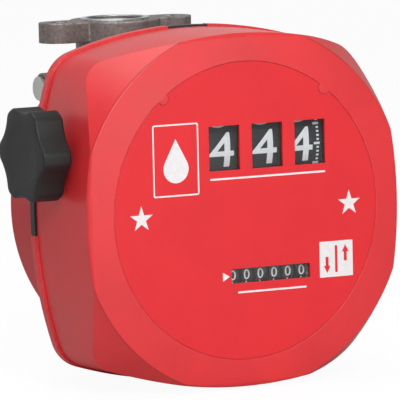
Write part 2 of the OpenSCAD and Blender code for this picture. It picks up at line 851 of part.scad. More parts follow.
module number_wheel(x, has_ring, has_segment, shown) {
    rim_inner = wheel_r - wheel_wall;
    rim_end = has_ring ? wheel_half : wheel_side;
    color(black) across(wheel_axis) translate([0, 0, x]) difference() {
        union() {
            tube(wheel_r, rim_inner, -wheel_half, rim_end);
            bar(rim_inner + wheel_wall / 2, -web_t / 2, web_t / 2);
            bar(hub_r, -wheel_side, wheel_side);
            if (has_ring) {
                translate([0, 0, wheel_half - web_t]) bar(rim_inner + wheel_wall / 2, 0, web_t);
                translate([0, 0, wheel_half - web_t]) linear_extrude(carry_w + web_t)
                    carry_ring_2d(carry_module, transfer_direction);
            }
            if (has_segment) {
                translate([0, 0, -wheel_half]) bar(rim_inner + wheel_wall / 2, 0, web_t);
                translate([0, 0, -wheel_side]) linear_extrude(carry_w + web_t)
                    carry_segment_2d(carry_module, transfer_direction, carry_mesh, shown);
            }
        }
        bar(reset_shaft_r + run_gap, -wheel_side - over, wheel_side + over);
    }
}

counter_shown = 4;

module units_wheel() { number_wheel(units_x, false, true, counter_shown); }
module tens_wheel() { number_wheel(tens_x, true, true, counter_shown); }
module hundreds_wheel() { number_wheel(hundreds_x, true, false, counter_shown); }

units_gear_angle = mesh_angle(0, direction(lay_axis, wheel_axis), counter_teeth, counter_teeth);

module units_gear() {
    color(white_plastic) across(wheel_axis)
        gear(counter_teeth, counter_module, reset_shaft_r + run_gap,
             counter_gear_x, counter_gear_x + gear_w, units_gear_angle, hub_r, pass_gap);
}

transfer_shaft_r = 2;

module transfer_shaft() {
    color(steel) across(transfer_axis)
        bar(transfer_shaft_r, plate_left_x - plate_t, plate_right_x + plate_t);
}

module transfer_pinion(left_x) {
    low = left_x + wheel_half + pass_gap;
    high = left_x + window_pitch - wheel_half - pass_gap;
    color(brass) across(transfer_axis) difference() {
        translate([0, 0, low]) linear_extrude(high - low) carry_pinion_2d(carry_module, transfer_direction);
        bar(transfer_shaft_r + run_gap, low - over, high + over);
    }
}

module tens_pinion() { transfer_pinion(tens_x); }
module hundreds_pinion() { transfer_pinion(hundreds_x); }

// Totaliser
total_direction = direction(total_axis, total_transfer_axis);
total_transfer_r = 0.7;

function total_wheel_x(i) = total_first_x - (i - 1) * total_pitch;

module total_wheel(i) {
    color(black) across(total_axis) translate([0, 0, total_wheel_x(i)]) difference() {
        union() {
            bar(total_r, -total_half, total_half);
            bar(2 * total_shaft_r, -total_side, total_side);
            if (i > 1) linear_extrude(total_side) carry_ring_2d(total_module, total_direction);
            if (i < total_count) translate([0, 0, -total_side]) linear_extrude(total_side)
                carry_segment_2d(total_module, total_direction, total_carry_mesh, 0);
        }
        bar(total_shaft_r + run_gap, -total_side - over, total_side + over);
    }
}

module total_pinion(i) {
    low = total_wheel_x(i + 1) + total_half + pass_gap / 2;
    high = total_wheel_x(i) - total_half - pass_gap / 2;
    color(brass) across(total_transfer_axis) difference() {
        translate([0, 0, low]) linear_extrude(high - low) carry_pinion_2d(total_module, total_direction);
        bar(total_transfer_r + run_gap, low - over, high + over);
    }
}

module total_shaft() {
    color(steel) across(total_axis) bar(total_shaft_r, plate_left_x - plate_t, plate_right_x + plate_t);
}

module total_transfer_shaft() {
    color(steel) across(total_transfer_axis)
        bar(total_transfer_r, plate_left_x - plate_t, plate_right_x + plate_t);
}

// Reset
knob_inner_x = -cover_half - knob_gap;
knob_outer_x = knob_inner_x - knob_t;
knob_face_t = 4;
knob_lobes = 6;
knob_step = 5;
reset_groove_w = 1.6;
reset_groove_d = 1;

module reset_shaft() {
    color(steel) across(wheel_axis) difference() {
        bar(reset_shaft_r, knob_outer_x + knob_face_t, plate_right_x + plate_t);
        block([-reset_groove_w / 2, reset_shaft_r - reset_groove_d, plate_left_x + pass_gap],
              [reset_groove_w / 2, reset_shaft_r + over, counter_gear_x]);
    }
}

module reset_knob() {
    color(black) across(wheel_axis) difference() {
        intersection() {
            translate([0, 0, knob_outer_x]) linear_extrude(knob_t)
                polygon([for (a = [0:knob_step:360 - knob_step])
                    polar(knob_r - knob_valley * (1 - cos(knob_lobes * a)) / 2, 180 + a)]);
            translate([0, 0, knob_outer_x]) rotate_extrude($fn = fine_fn)
                polygon([[0, 0], [knob_r - knob_chamfer, 0], [knob_r, knob_chamfer],
                         [knob_r, knob_t - knob_chamfer], [knob_r - knob_chamfer, knob_t], [0, knob_t]]);
        }
        bar(reset_shaft_r + seat_gap, knob_outer_x + knob_face_t, knob_inner_x + over);
    }
}

// Side plates of the counter
land = 5;
foot_w = 8;
foot_l = 14;
low_foot = total_axis[1] - 2 * land;
high_foot = transfer_axis[1] + land - foot_l;

module plate_2d() {
    difference() {
        union() {
            translate(lay_axis) circle(r = land);
            polygon([[-base_front, low_foot],
                     [total_axis[0] - land, low_foot],
                     [total_axis[0] - land, total_axis[1] + land],
                     [wheel_axis[0] - 3 * land, wheel_axis[1]],
                     [transfer_axis[0] - 2 * land, transfer_axis[1] + land],
                     [-base_front, transfer_axis[1] + land]]);
        }
        translate(wheel_axis) circle(r = reset_shaft_r + run_gap);
        translate(lay_axis) circle(r = lay_shaft_r + run_gap);
        translate(transfer_axis) circle(r = transfer_shaft_r + seat_gap);
        translate(total_axis) circle(r = total_shaft_r + seat_gap);
        translate(total_transfer_axis) circle(r = total_transfer_r + seat_gap);
    }
}

// A plate at x, with its feet on the side given by the sign out
module frame_plate(x, out) {
    color(steel) difference() {
        union() {
            across([0, 0]) translate([0, 0, x]) linear_extrude(plate_t) plate_2d();
            for (low = [low_foot, high_foot])
                translate([out > 0 ? x : x + plate_t - foot_w, -base_front - plate_t, low])
                    cube([foot_w, plate_t, foot_l]);
        }
        for (low = [low_foot, high_foot])
            translate([foot_screw_x(x, out), 0, low + foot_l / 2]) rotate([90, 0, 0])
                bar(small_hole_r, base_front - over, base_front + plate_t + over);
    }
}
function foot_screw_x(x, out) = out > 0 ? x + (plate_t + foot_w) / 2 : x + (plate_t - foot_w) / 2;

module frame_plate_left() { frame_plate(plate_left_x - plate_t, -1); }
module frame_plate_right() { frame_plate(plate_right_x, 1); }

// Screws that hold the side plates and the worm bracket on the base, as [x, z, plate]
small_screw_places = concat(
    [for (low = [low_foot, high_foot])
        [foot_screw_x(plate_left_x - plate_t, -1), low + foot_l / 2, plate_t]],
    [for (low = [low_foot, high_foot]) [foot_screw_x(plate_right_x, 1), low + foot_l / 2, plate_t]],
    [[worm_x, mid_z + bracket_low - bracket_foot_l / 2, bracket_t]]);

module frame_screws() {
    color(steel) for (s = small_screw_places)
        facing() translate([s[0], s[1] - mid_z, base_front + s[2]])
            screw(small_head_r, small_head_h, small_screw_r, s[2] + base_t - run_gap);
}

// Black base behind the counter, with the four tabs that show in the rim
tab_edge = 0.3;
opening_low = bracket_low + 2 * bracket_t;
slot_low = lay_axis[1] - mid_z - counter_module * (counter_teeth / 2 + gear_add_share) - 3 * pass_gap;
opening_high = transfer_axis[1] - mid_z - 2 * land;

module register_base() {
    color(black) facing() difference() {
        union() {
            translate([0, 0, rim_back]) linear_extrude(base_t)
                bowed_square(inner_half - fit_gap, inner_corner_r - fit_gap);
            translate([0, 0, rim_back]) linear_extrude(rim_t - tab_edge) intersection() {
                bowed_square(rim_half - tab_edge, corner_r - tab_edge);
                for (turn = [0:90:270]) rotate(turn)
                    translate([inner_half - rim_t, tab_edge - notch_l / 2])
                        square([rim_half - inner_half + 2 * rim_t, notch_l - 2 * tab_edge]);
            }
        }
        block([plate_left_x + pass_gap / 2, opening_low, rim_back - over],
              [plate_right_x - pass_gap / 2, opening_high, base_front + over]);
        block([counter_gear_x - pass_gap, slot_low, rim_back - over],
              [plate_right_x - pass_gap / 2, opening_high, base_front + over]);
        block([plate_left_x - plate_t - pass_gap, lay_axis[1] - mid_z - land - pass_gap, rim_back - over],
              [plate_right_x + plate_t + pass_gap, lay_axis[1] - mid_z + land + pass_gap,
               base_front + over]);
        around(pillar_ring_r, pillar_angles) bar(screw_hole_r, rim_back - over, base_front + over);
        around(case_screw_ring_r, [45:90:315]) bar(screw_hole_r, rim_back - over, base_front + over);
        for (s = small_screw_places) translate([s[0], s[1] - mid_z, 0])
            bar(small_screw_r + run_gap, rim_back - over, base_front + over);
    }
}

module register_screws() {
    color(steel) facing() around(pillar_ring_r, pillar_angles)
        translate([0, 0, base_front]) screw(head_r, head_h, screw_r, pillar_pilot);
}

module case_screws() {
    color(steel) facing() around(case_screw_ring_r, [45:90:315])
        translate([0, 0, rim_back]) mirror([0, 0, 1]) screw(head_r, head_h, screw_r, case_screw_l);
}

// Rear shell
shell_edge_r = 4;
shell_back = bowl_front - body_flange_t - shell_wall;

module rear_shell() {
    color(red) facing() difference() {
        rotate_extrude($fn = fine_fn) {
            translate([0, shell_back]) square([shell_r - shell_edge_r, rim_back - shell_back]);
            translate([0, shell_back + shell_edge_r])
                square([shell_r, rim_back - shell_back - shell_edge_r]);
            translate([shell_r - shell_edge_r, shell_back + shell_edge_r]) circle(r = shell_edge_r);
        }
        rotate_extrude($fn = fine_fn) {
            inner_edge_r = shell_edge_r - shell_wall;
            low = shell_back + shell_wall;
            translate([0, low]) square([shell_r - shell_edge_r, rim_back + over - low]);
            translate([0, low + inner_edge_r])
                square([shell_r - shell_wall, rim_back + over - low - inner_edge_r]);
            translate([shell_r - shell_edge_r, low + inner_edge_r]) circle(r = inner_edge_r);
        }
        bar(drum_case_r + fit_gap, shell_back - over, shell_back + shell_wall + over);
    }
}

// Front cover
window_margin = 0.6;
dial_tab_w = 6;
dial_tab_l = 3.5;
dial_tab_angles = [52, 128];
facet_far_r = crease_r + corner_r;
facet_front = dial_reach - crease_drop - crease_step;
inner_crease_r = crease_r - cover_wall / cos(facet_slope);
lens_half_w = window_pitch + window_w / 2 + 2 * floor_t;
lens_low = -total_drop - total_window_h / 2 - 2 * floor_t;
lens_high = window_rise + window_h / 2 + 2 * floor_t;

module dial_tabs(gap) {
    for (a = dial_tab_angles) rotate(a) translate([dial_r - dial_tab_l + dial_tab_w / 2, 0]) {
        circle(r = dial_tab_w / 2 + gap);
        translate([0, -dial_tab_w / 2 - gap]) square([dial_tab_w, dial_tab_w + 2 * gap]);
    }
}

module windows(margin, low, high) {
    for (i = [-1:1]) translate([window_x + i * window_pitch, window_rise, 0])
        block([-window_w / 2 - margin, -window_h / 2 - margin, low],
              [window_w / 2 + margin, window_h / 2 + margin, high]);
    translate([total_x, -total_drop, 0])
        block([-total_window_w / 2 - margin, -total_window_h / 2 - margin, low],
              [total_window_w / 2 + margin, total_window_h / 2 + margin, high]);
}

// The cover's whole outer form, without its hollow
module cover_form() {
    intersection() {
        translate([0, 0, rim_back]) linear_extrude(dial_reach - rim_back)
            bowed_square(cover_half, wall_corner_r);
        rotate_extrude($fn = fine_fn)
            polygon([[0, rim_back], [facet_far_r, rim_back],
                     [facet_far_r, facet_front - (facet_far_r - crease_r) / tan(facet_slope)],
                     [crease_r, facet_front], [crease_r - crease_step, dial_reach - crease_drop],
                     [dial_r, dial_reach], [0, dial_reach]]);
    }
}

module cover_hollow() {
    intersection() {
        translate([0, 0, rim_back - over]) linear_extrude(floor_back - rim_back + over)
            bowed_square(inner_half, inner_corner_r);
        rotate_extrude($fn = fine_fn)
            polygon([[0, rim_back - over], [facet_far_r, rim_back - over],
                     [facet_far_r, facet_front - (facet_far_r - inner_crease_r) / tan(facet_slope)],
                     [inner_crease_r + (facet_front - floor_back) * tan(facet_slope), floor_back],
                     [0, floor_back]]);
    }
}

// What rounds the edge between the front and a bowed side
module front_edge_cut() {
    top = dial_reach - crease_drop * (cover_half - dial_r) / (crease_r - dial_r);
    rotate_extrude($fn = fine_fn) difference() {
        translate([bow_r - front_edge_r, top - front_edge_r]) square(front_edge_r + over);
        translate([bow_r - front_edge_r, top - front_edge_r]) circle(r = front_edge_r);
    }
}

module front_cover() {
    color(red) facing() difference() {
        union() {
            difference() {
                cover_form();
                cover_hollow();
            }
            translate([0, 0, rim_back]) linear_extrude(rim_t) difference() {
                bowed_square(rim_half, corner_r);
                bowed_square(inner_half + cover_wall / 2, inner_corner_r + cover_wall / 2);
            }
            intersection() {
                cover_form();
                around(case_screw_ring_r, [45:90:315]) {
                    bar(case_boss_r, base_front, dial_reach);
                    block([0, -cover_wall / 3, base_front], [2 * case_boss_r, cover_wall / 3, dial_reach]);
                }
            }
            translate([-inner_half, window_rise, -wheel_axis[0]]) rotate([0, 90, 0])
                bar(2 * reset_shaft_r, -cover_wall / 2, cover_wall);
        }
        translate([0, 0, lens_front]) linear_extrude(dial_t + over) difference() {
            circle(r = dial_r, $fn = fine_fn);
            dial_tabs(0);
        }
        block([window_x - lens_half_w, lens_low, lens_front - lens_t],
              [window_x + lens_half_w, lens_high, lens_front + over]);
        windows(window_margin, floor_back - over, dial_reach);
        around(cover_half - bow_r, [0:90:270]) front_edge_cut();
        for (turn = [0:90:270]) rotate(turn)
            block([inner_half - over, -notch_l / 2, rim_back - over],
                  [rim_half + over, notch_l / 2, rim_back + rim_t]);
        around(case_screw_ring_r, [45:90:315]) bar(pilot_r, base_front - over, base_front + case_pilot);
        translate([-cover_half, window_rise, -wheel_axis[0]]) rotate([0, 90, 0])
            bar(reset_shaft_r + pass_gap, -knob_gap - over, 3 * cover_wall);
    }
}

module dial_plate() {
    color(red) facing() difference() {
        translate([0, 0, lens_front]) linear_extrude(dial_t - dial_drop) difference() {
            circle(r = dial_r - fit_gap, $fn = fine_fn);
            dial_tabs(fit_gap);
        }
        windows(0, lens_front - over, dial_reach + over);
    }
}

module window_lens() {
    color([0.85, 0.9, 0.92, 0.4]) facing()
        block([window_x - lens_half_w + fit_gap, lens_low + fit_gap, lens_front - lens_t],
              [window_x + lens_half_w - fit_gap, lens_high - fit_gap, lens_front]);
}

// Bypass screw, its plug and the strainer
bypass_gap = 2.5;
bypass_screw_back = -calibration_boss_l + plug_l + bypass_gap;
bypass_screw_l = 8;
bypass_tip_l = 6;

module calibration_screw() {
    color(brass) across(calibration_axis) difference() {
        union() {
            bar(calibration_bore_r - run_gap, bypass_screw_back, bypass_screw_back + bypass_screw_l);
            translate([0, 0, bypass_screw_back + bypass_screw_l])
                cylinder(r1 = calibration_seat_r - pass_gap, r2 = calibration_seat_r / 3, h = bypass_tip_l);
        }
        translate([0, 0, bypass_screw_back])
            cube([plug_head_t, 3 * calibration_bore_r, 2 * plug_head_t], center = true);
    }
}

module plug_seal() {
    color(rubber) across(calibration_axis)
        tube(plug_head_r - run_gap, calibration_bore_r,
             -calibration_boss_l - plug_seal_t, -calibration_boss_l);
}

module calibration_plug() {
    head_back = -calibration_boss_l - plug_seal_t;
    color(steel) across(calibration_axis) {
        bar(plug_head_r, head_back - plug_head_t, head_back);
        bar(calibration_bore_r - run_gap, head_back, head_back + plug_l);
    }
}

strainer_t = 0.8;
strainer_l = 14;
strainer_slots = 8;
strainer_rows = 3;
strainer_first_share = 1.2;

module inlet_strainer() {
    cup_r = passage_r - pass_gap;
    low = port_depth;
    slot = strainer_l / (2 * strainer_rows + 1);
    color(steel) difference() {
        union() {
            bar(strainer_seat_r - fit_gap, low, low + strainer_seat_t);
            bar(cup_r, low, low + strainer_seat_t + strainer_l);
        }
        bar(cup_r - strainer_t, low - over, low + strainer_seat_t + strainer_l - strainer_t);
        for (row = [0:strainer_rows - 1], a = [1:strainer_slots / 2])
            translate([0, 0, low + strainer_seat_t + (2 * row + strainer_first_share) * slot])
                rotate(360 * a / strainer_slots) cube([4 * cup_r, cup_r / 3, slot], center = true);
    }
}

meter_body();
body_cover();
body_seal();
body_screws();
chamber_front();
chamber_rear();
partition_plate();
nutating_disc();
drive_crank();
shaft_bush();
shaft_seal();
drive_pinion();
reduction_gear();
worm();
worm_bracket();
worm_wheel();
layshaft();
layshaft_gear();
layshaft_pinion();
idler_gear_1();
idler_gear_2();
idler_plate();
idler_studs();
total_gear();
units_gear();
units_wheel();
tens_wheel();
hundreds_wheel();
tens_pinion();
hundreds_pinion();
transfer_shaft();
reset_shaft();
reset_knob();
total_shaft();
total_transfer_shaft();
frame_plate_left();
frame_plate_right();
frame_screws();
register_base();
register_screws();
rear_shell();
front_cover();
case_screws();
dial_plate();
window_lens();
calibration_screw();
calibration_plug();
plug_seal();
inlet_strainer();
for (i = [1:total_count]) total_wheel(i);
for (i = [1:total_count - 1]) total_pinion(i);
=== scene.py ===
"""Looks of a diesel flow meter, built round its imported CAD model.

Lengths on the meter are in millimetres and become metres when a mesh is made. The panel's
settings, the values of shaders, the floor and the lamps are in metres from the start.
A point on the meter is [x, forward, up]: forward counts from the port axis to the reader and
up from the lower port's face, as in the CAD frame.
"""

import json
import math

import bmesh
import bpy
from bpy.props import FloatProperty, FloatVectorProperty, IntProperty, PointerProperty
from mathutils import Matrix, Vector
from mathutils.geometry import tessellate_polygon

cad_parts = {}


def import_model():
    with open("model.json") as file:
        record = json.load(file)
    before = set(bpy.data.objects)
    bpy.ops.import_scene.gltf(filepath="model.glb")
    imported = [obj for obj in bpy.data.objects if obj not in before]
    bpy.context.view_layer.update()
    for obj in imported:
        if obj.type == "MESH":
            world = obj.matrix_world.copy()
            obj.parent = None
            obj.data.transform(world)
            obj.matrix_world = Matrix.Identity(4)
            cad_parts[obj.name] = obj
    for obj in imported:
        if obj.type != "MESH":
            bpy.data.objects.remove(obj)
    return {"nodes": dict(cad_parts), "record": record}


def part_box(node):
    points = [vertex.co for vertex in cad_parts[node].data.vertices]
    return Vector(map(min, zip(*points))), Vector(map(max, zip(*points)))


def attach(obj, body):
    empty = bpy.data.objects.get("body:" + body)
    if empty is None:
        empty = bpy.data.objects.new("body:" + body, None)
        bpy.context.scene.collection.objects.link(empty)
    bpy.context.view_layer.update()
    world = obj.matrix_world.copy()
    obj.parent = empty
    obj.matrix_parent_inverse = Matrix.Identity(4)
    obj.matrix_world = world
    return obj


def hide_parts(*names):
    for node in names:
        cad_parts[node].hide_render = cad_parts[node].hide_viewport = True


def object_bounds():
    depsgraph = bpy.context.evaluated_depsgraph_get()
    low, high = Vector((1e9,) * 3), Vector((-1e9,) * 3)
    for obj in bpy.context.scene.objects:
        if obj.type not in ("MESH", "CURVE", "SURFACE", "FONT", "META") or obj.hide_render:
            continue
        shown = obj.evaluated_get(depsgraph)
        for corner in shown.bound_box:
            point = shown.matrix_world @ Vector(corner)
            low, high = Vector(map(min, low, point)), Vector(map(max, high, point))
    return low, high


bl_info = {
    "name": "Flow Meter Looks",
    "version": (1, 0, 0),
    "blender": (4, 5, 0),
    "location": "View3D > Sidebar > Meter",
    "description": "Finishes, print and fine pieces of a diesel flow meter",
    "category": "Object",
}

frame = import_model()
cad_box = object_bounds()

MM = 0.001


def box_mm(node):
    """Lowest and highest corner of a CAD node in millimetres."""
    low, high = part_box(node)
    return low / MM, high / MM


def middle_mm(node):
    """Middle of a CAD node in millimetres."""
    low, high = box_mm(node)
    return (low + high) / 2


COVER_FRONT = -box_mm("front_cover")[0].y
DIAL_FRONT = -box_mm("dial_plate")[0].y
DIAL_UP = middle_mm("dial_plate").z
CREASE_R = 94.0  # radius of the crease round the cover's front ring
BIG_WHEELS = {
    # node: (body, how far its digits' middle lies right of its own)
    "hundreds_wheel": ("hundreds", 0.7),
    "tens_wheel": ("tens", 0.7),
    "units_wheel": ("units", -3.2),
}
SCREWS = ("case_screws", "register_screws", "body_screws", "frame_screws")
SMALL_WHEELS = tuple(f"total_wheel_{i}" for i in range(1, 7))
DIGIT_STEP = math.radians(36)

# Digits: their place on the wheels, and how their outline is made
SHOWN_DIGIT = 4  # what the big wheels show at rest
FONT_DIGIT = 0.46, 0.70  # width and height of a wide digit in Blender's own font at size 1
DIGIT_BANDS = 18  # bands that let a flat digit bend round its wheel
SHORT_EDGE = 0.006  # edges shorter than this share of a digit's height are closed
MITRE = 0.6  # keeps a digit's sharp corners from growing far
MARKS_PER_DIGIT, LONG_MARK_STEP = 10, 5
LONG_MARK_HALF, SHORT_MARK_HALF = 0.62, 0.5  # half a mark's height
LONG_MARK_END, SHORT_MARK_END = 8.0, 7.6  # a mark's right end, from the wheel's middle

# Print on the dial, as [x, up] from the dial's middle, with width and height where it has them
PRINT_DEPTH = 1.5  # thickness in ink heights
FRAME_LINE, RULE_LINE = 1.3, 1.6  # line widths in rule widths
FRAME_CORNERS, CARD_CORNER = (1.2, 0.6), 0.4
STARS = ((-60.6, -0.4), (60.0, -0.3))
DROP_FRAME = (-40.2, 28.2, 26.3, 36.7)
DROP_SPOT, DROP_R = (-40.2, 23.8), 7.2
ARROW_CARD = (51.8, -28.5, 19.5, 18.4)
CARD_BAR = (51.8, -28.5, 1.5, 14.0)
ARROWS = ((57.2, -25.6, 4.0, 8.4), (46.4, -31.4, 4.0, -8.4))
POINTER = ((-10.6, -33.1), (-14.6, -30.8), (-14.6, -35.4))
RULES = ((12.8, 16.9, 67.0), (14.0, -41.5, 40.0))

# Painted shade in a thin line along the crease round the cover's front: its width and depth in
# metres, and how dark it is
CREASE_SHADE_WIDTH, CREASE_SHADE_DEPTH, CREASE_SHADE_SHARE = 0.0005, 0.0026, 0.35

# Reset knob
KNOB_STEPS = 240
KNOB_TURN = math.radians(2)  # how far it stands turned at rest
FLUTE_SHARE = 0.72  # share of a lobe's pitch that its flute takes
FLUTE_EASE = (-0.05, -0.025, 0.0, 0.025, 0.05)  # angles over which the outline is averaged

# Thread in the ports: radius at its foot and its crest, and half its width there in pitches
THREAD_WALL, THREAD_CREST = 15.16, 14.72
THREAD_FOOT_HALF, THREAD_CREST_HALF = 0.42, 0.06
THREAD_TURNS, THREAD_STEPS, THREAD_START = 7, 72, 0.8
MACHINED_R, MACHINED_DEPTH = 0.0182, 0.0005  # metres: the bright ring, and its cut into a face

# Fixed tones
DUST = (0.50, 0.46, 0.42, 1.0)
CAST_DUST = (0.36, 0.32, 0.29, 1.0)
CAST_STAIN = (0.17, 0.12, 0.10)
# painted shade: dark red of the line along the crease round the cover's front
CREASE_SHADE_RED = (0.18, 0.01, 0.01, 1.0)
TOOL_GREY = (0.40, 0.40, 0.40)

# Studio
FLOOR_HALF, FLOOR_GAP = 3.0, 0.0002  # metres: half its side, and its gap under the meter
FLOOR_GLOW, FLOOR_SHARE = 1.05, 0.90  # the white that the camera sees of it, and how much
AMBIENT = 0.22  # strength of the sky as a lamp
# How the sky that surfaces mirror fades upward and to the right: from, to, strength at each
FADE_UP = (0.08, 0.5, 1.0, 0.22)
FADE_RIGHT = (0.50, 0.80, 1.0, 0.12)
LAMP_AIM = Vector((0.0, -0.07, 0.09))  # metres
LAMPS = (
    # name, place and size in metres, strength in watts
    ("key_lamp", (-0.42, -1.35, 0.95), 0.7, 13.6),
    ("top_lamp", (-0.25, 0.10, 1.30), 0.9, 6.2),
    ("fill_lamp", (0.28, -1.45, 0.35), 0.8, 3.0),
)
CAMERA_AZIMUTH, CAMERA_ELEVATION, CAMERA_ROLL = 28.657, 5.996, -1.299  # degrees
CAMERA_DISTANCE = 2.95484  # metres
CAMERA_LENS = 526.7  # millimetres
CAMERA_AIM = (-26.961, 7.217)  # millimetres: x, and up from the dial's middle


def length_setting(label, words, value, low, high):
    """A length in metres that the panel shows."""
    return FloatProperty(
        name=label, description=words, default=value, min=low, max=high, unit="LENGTH")


def colour_setting(label, words, value):
    """A colour that the panel shows."""
    return FloatVectorProperty(
        name=label, description=words, subtype="COLOR", size=3, min=0, max=1, default=value)


class MeterSizes(bpy.types.PropertyGroup):
    """Sizes of the printed and fine pieces."""

    digit_height: length_setting(
        "Digit height", "Height of a big wheel's digits", 0.018, 0.010, 0.020)
    digit_width: length_setting(
        "Digit width", "Width of a big wheel's digits", 0.0142, 0.006, 0.016)
    digit_drop: length_setting(
        "Digit drop", "How far a digit's middle lies under the wheel's axis", 0.0013, 0.0, 0.003)
    digit_weight: length_setting(
        "Digit weight", "How much a stroke of a big digit gains on each side", 0.0002, 0.0, 0.0005)
    small_digit_height: length_setting(
        "Totaliser digit height", "Height of a small wheel's digits", 0.0052, 0.003, 0.0055)
    small_digit_width: length_setting(
        "Totaliser digit width", "Width of a small wheel's digits", 0.0035, 0.002, 0.0045)
    tick_length: length_setting(
        "Tick length", "Length of a short graduation mark", 0.0014, 0.001, 0.003)
    bar_length: length_setting(
        "Bar length", "Length of a long graduation mark", 0.0034, 0.002, 0.005)
    star_radius: length_setting(
        "Star radius", "Radius of the two printed stars", 0.0068, 0.003, 0.009)
    rule_width: length_setting("Rule width", "Width of the printed lines", 0.0006, 0.0003, 0.0015)
    ink: length_setting(
        "Ink height", "How far the print stands over its ground", 0.00004, 0.00001, 0.0001)
    thread_pitch: length_setting(
        "Thread pitch", "Pitch of the thread in the two ports", 0.002309, 0.001, 0.003)
    knob_flute: length_setting(
        "Knob flute", "Depth of the flutes between the reset knob's lobes", 0.0036, 0.002, 0.006)
    knob_lobes: IntProperty(
        name="Knob lobes", description="Number of lobes round the reset knob",
        default=6, min=5, max=8)


class MeterColours(bpy.types.PropertyGroup):
    """Colours of the finishes."""

    cover: colour_setting("Cover", "Red of the moulded cover", (0.76, 0.030, 0.036))
    shell: colour_setting("Shell", "Red of the rear shell", (0.66, 0.026, 0.034))
    dial: colour_setting("Dial", "Red of the dial", (0.78, 0.022, 0.030))
    print_white: colour_setting("Print", "White of the dial's print", (0.88, 0.86, 0.87))
    digit: colour_setting("Digits", "Pale grey of the digits", (0.82, 0.83, 0.87))
    drum: colour_setting("Number wheels", "Black of the number wheels", (0.009, 0.009, 0.012))
    knob: colour_setting("Knob", "Black of the knob", (0.0105, 0.0100, 0.0098))
    base: colour_setting("Base", "Black of the base plate", (0.010, 0.013, 0.014))
    casting: colour_setting("Casting", "Grey brown of the bare casting", (0.205, 0.172, 0.160))
    machined: colour_setting(
        "Machined face", "Pale metal of the machined faces", (0.50, 0.53, 0.55))


# Node building

def feed(tree, sockets, values):
    """Sets each socket to its value, or joins it to another socket."""
    for key, value in values.items():
        if isinstance(value, bpy.types.NodeSocket):
            tree.links.new(value, sockets[key])
        else:
            sockets[key].default_value = value


def node(tree, kind, inputs=None, **settings):
    """Adds a shader node, with its inputs set to values or joined to other sockets."""
    made = tree.nodes.new("ShaderNode" + kind)
    for key, value in settings.items():
        setattr(made, key, value)
    feed(tree, made.inputs, inputs or {})
    return made


def math_node(tree, operation, first, second=0.0, clamp=False):
    """One sum on values."""
    made = node(tree, "Math", {0: first, 1: second}, operation=operation, use_clamp=clamp)
    return made.outputs[0]


def product(tree, first, second, clamp=False):
    """Two values multiplied."""
    return math_node(tree, "MULTIPLY", first, second, clamp)


def mix_colour(tree, share, first, second):
    """The first colour, or the second at a share of 1."""
    return node(tree, "Mix", {0: share, 6: first, 7: second}, data_type="RGBA").outputs[2]


def remap(tree, value, low, high, to_low, to_high):
    """Carries a value from one range to another."""
    made = node(tree, "MapRange", {
        "Value": value, "From Min": low, "From Max": high, "To Min": to_low, "To Max": to_high})
    return made.outputs["Result"]


def noise(tree, where, scale, detail, roughness=0.5, distortion=0.0):
    """Soft noise over a surface, round a half."""
    return node(tree, "TexNoise", {
        "Vector": where, "Scale": scale, "Detail": detail, "Roughness": roughness,
        "Distortion": distortion}).outputs["Fac"]


def effect(name, inputs, outputs):
    """An empty node group, with the sockets that give its inputs and take its results."""
    tree = bpy.data.node_groups.new(name, "ShaderNodeTree")
    for label, kind, value in inputs:
        socket = tree.interface.new_socket(name=label, in_out="INPUT", socket_type=kind)
        if value is not None:
            socket.default_value = value
    for label, kind in outputs:
        tree.interface.new_socket(name=label, in_out="OUTPUT", socket_type=kind)
    source = tree.nodes.new("NodeGroupInput")
    sink = tree.nodes.new("NodeGroupOutput")
    return tree, source.outputs, sink.inputs


def place(tree, group_name, where, inputs):
    """Puts an effect over a surface's coordinates in a material, with its own values."""
    made = tree.nodes.new("ShaderNodeGroup")
    made.node_tree = bpy.data.node_groups[group_name]
    feed(tree, made.inputs, {0: where, **inputs})
    return made.outputs


def mix_surfaces(tree, share, first, second):
    """Ends a material in a mix of two shaders."""
    mixed = node(tree, "MixShader", {0: share, 1: first.outputs[0], 2: second.outputs[0]})
    tree.links.new(mixed.outputs[0], tree.nodes["Material Output"].inputs["Surface"])


def bump(tree, height, strength, distance, normal=None):
    """The normal of a surface with a fine relief."""
    inputs = {"Height": height, "Strength": strength, "Distance": distance}
    if normal is not None:
        inputs["Normal"] = normal
    return node(tree, "Bump", inputs).outputs[0]


VALUE, VECTOR = "NodeSocketFloat", "NodeSocketVector"


def build_mottle():
    """Slow changes of tone over a surface, from 0 to 1 round a half."""
    tree, given, result = effect(
        "Slow Mottle", [("Place", VECTOR, None), ("Scale", VALUE, 30.0)], [("Tone", VALUE)])
    wide = noise(tree, given["Place"], given["Scale"], 4.0, 0.55)
    tree.links.new(remap(tree, wide, 0.3, 0.7, 0.0, 1.0), result["Tone"])


def build_grain():
    """Fine skin of a moulded or rolled surface, as a height."""
    tree, given, result = effect(
        "Fine Grain", [("Place", VECTOR, None), ("Scale", VALUE, 1500.0)], [("Height", VALUE)])
    fine = noise(tree, given["Place"], given["Scale"], 3.0, 0.6)
    cells = node(tree, "TexVoronoi", {
        "Vector": given["Place"], "Scale": product(tree, given["Scale"], 0.45)},
        feature="SMOOTH_F1")
    total = math_node(tree, "ADD", fine, product(tree, cells.outputs["Distance"], 0.6))
    tree.links.new(total, result["Height"])


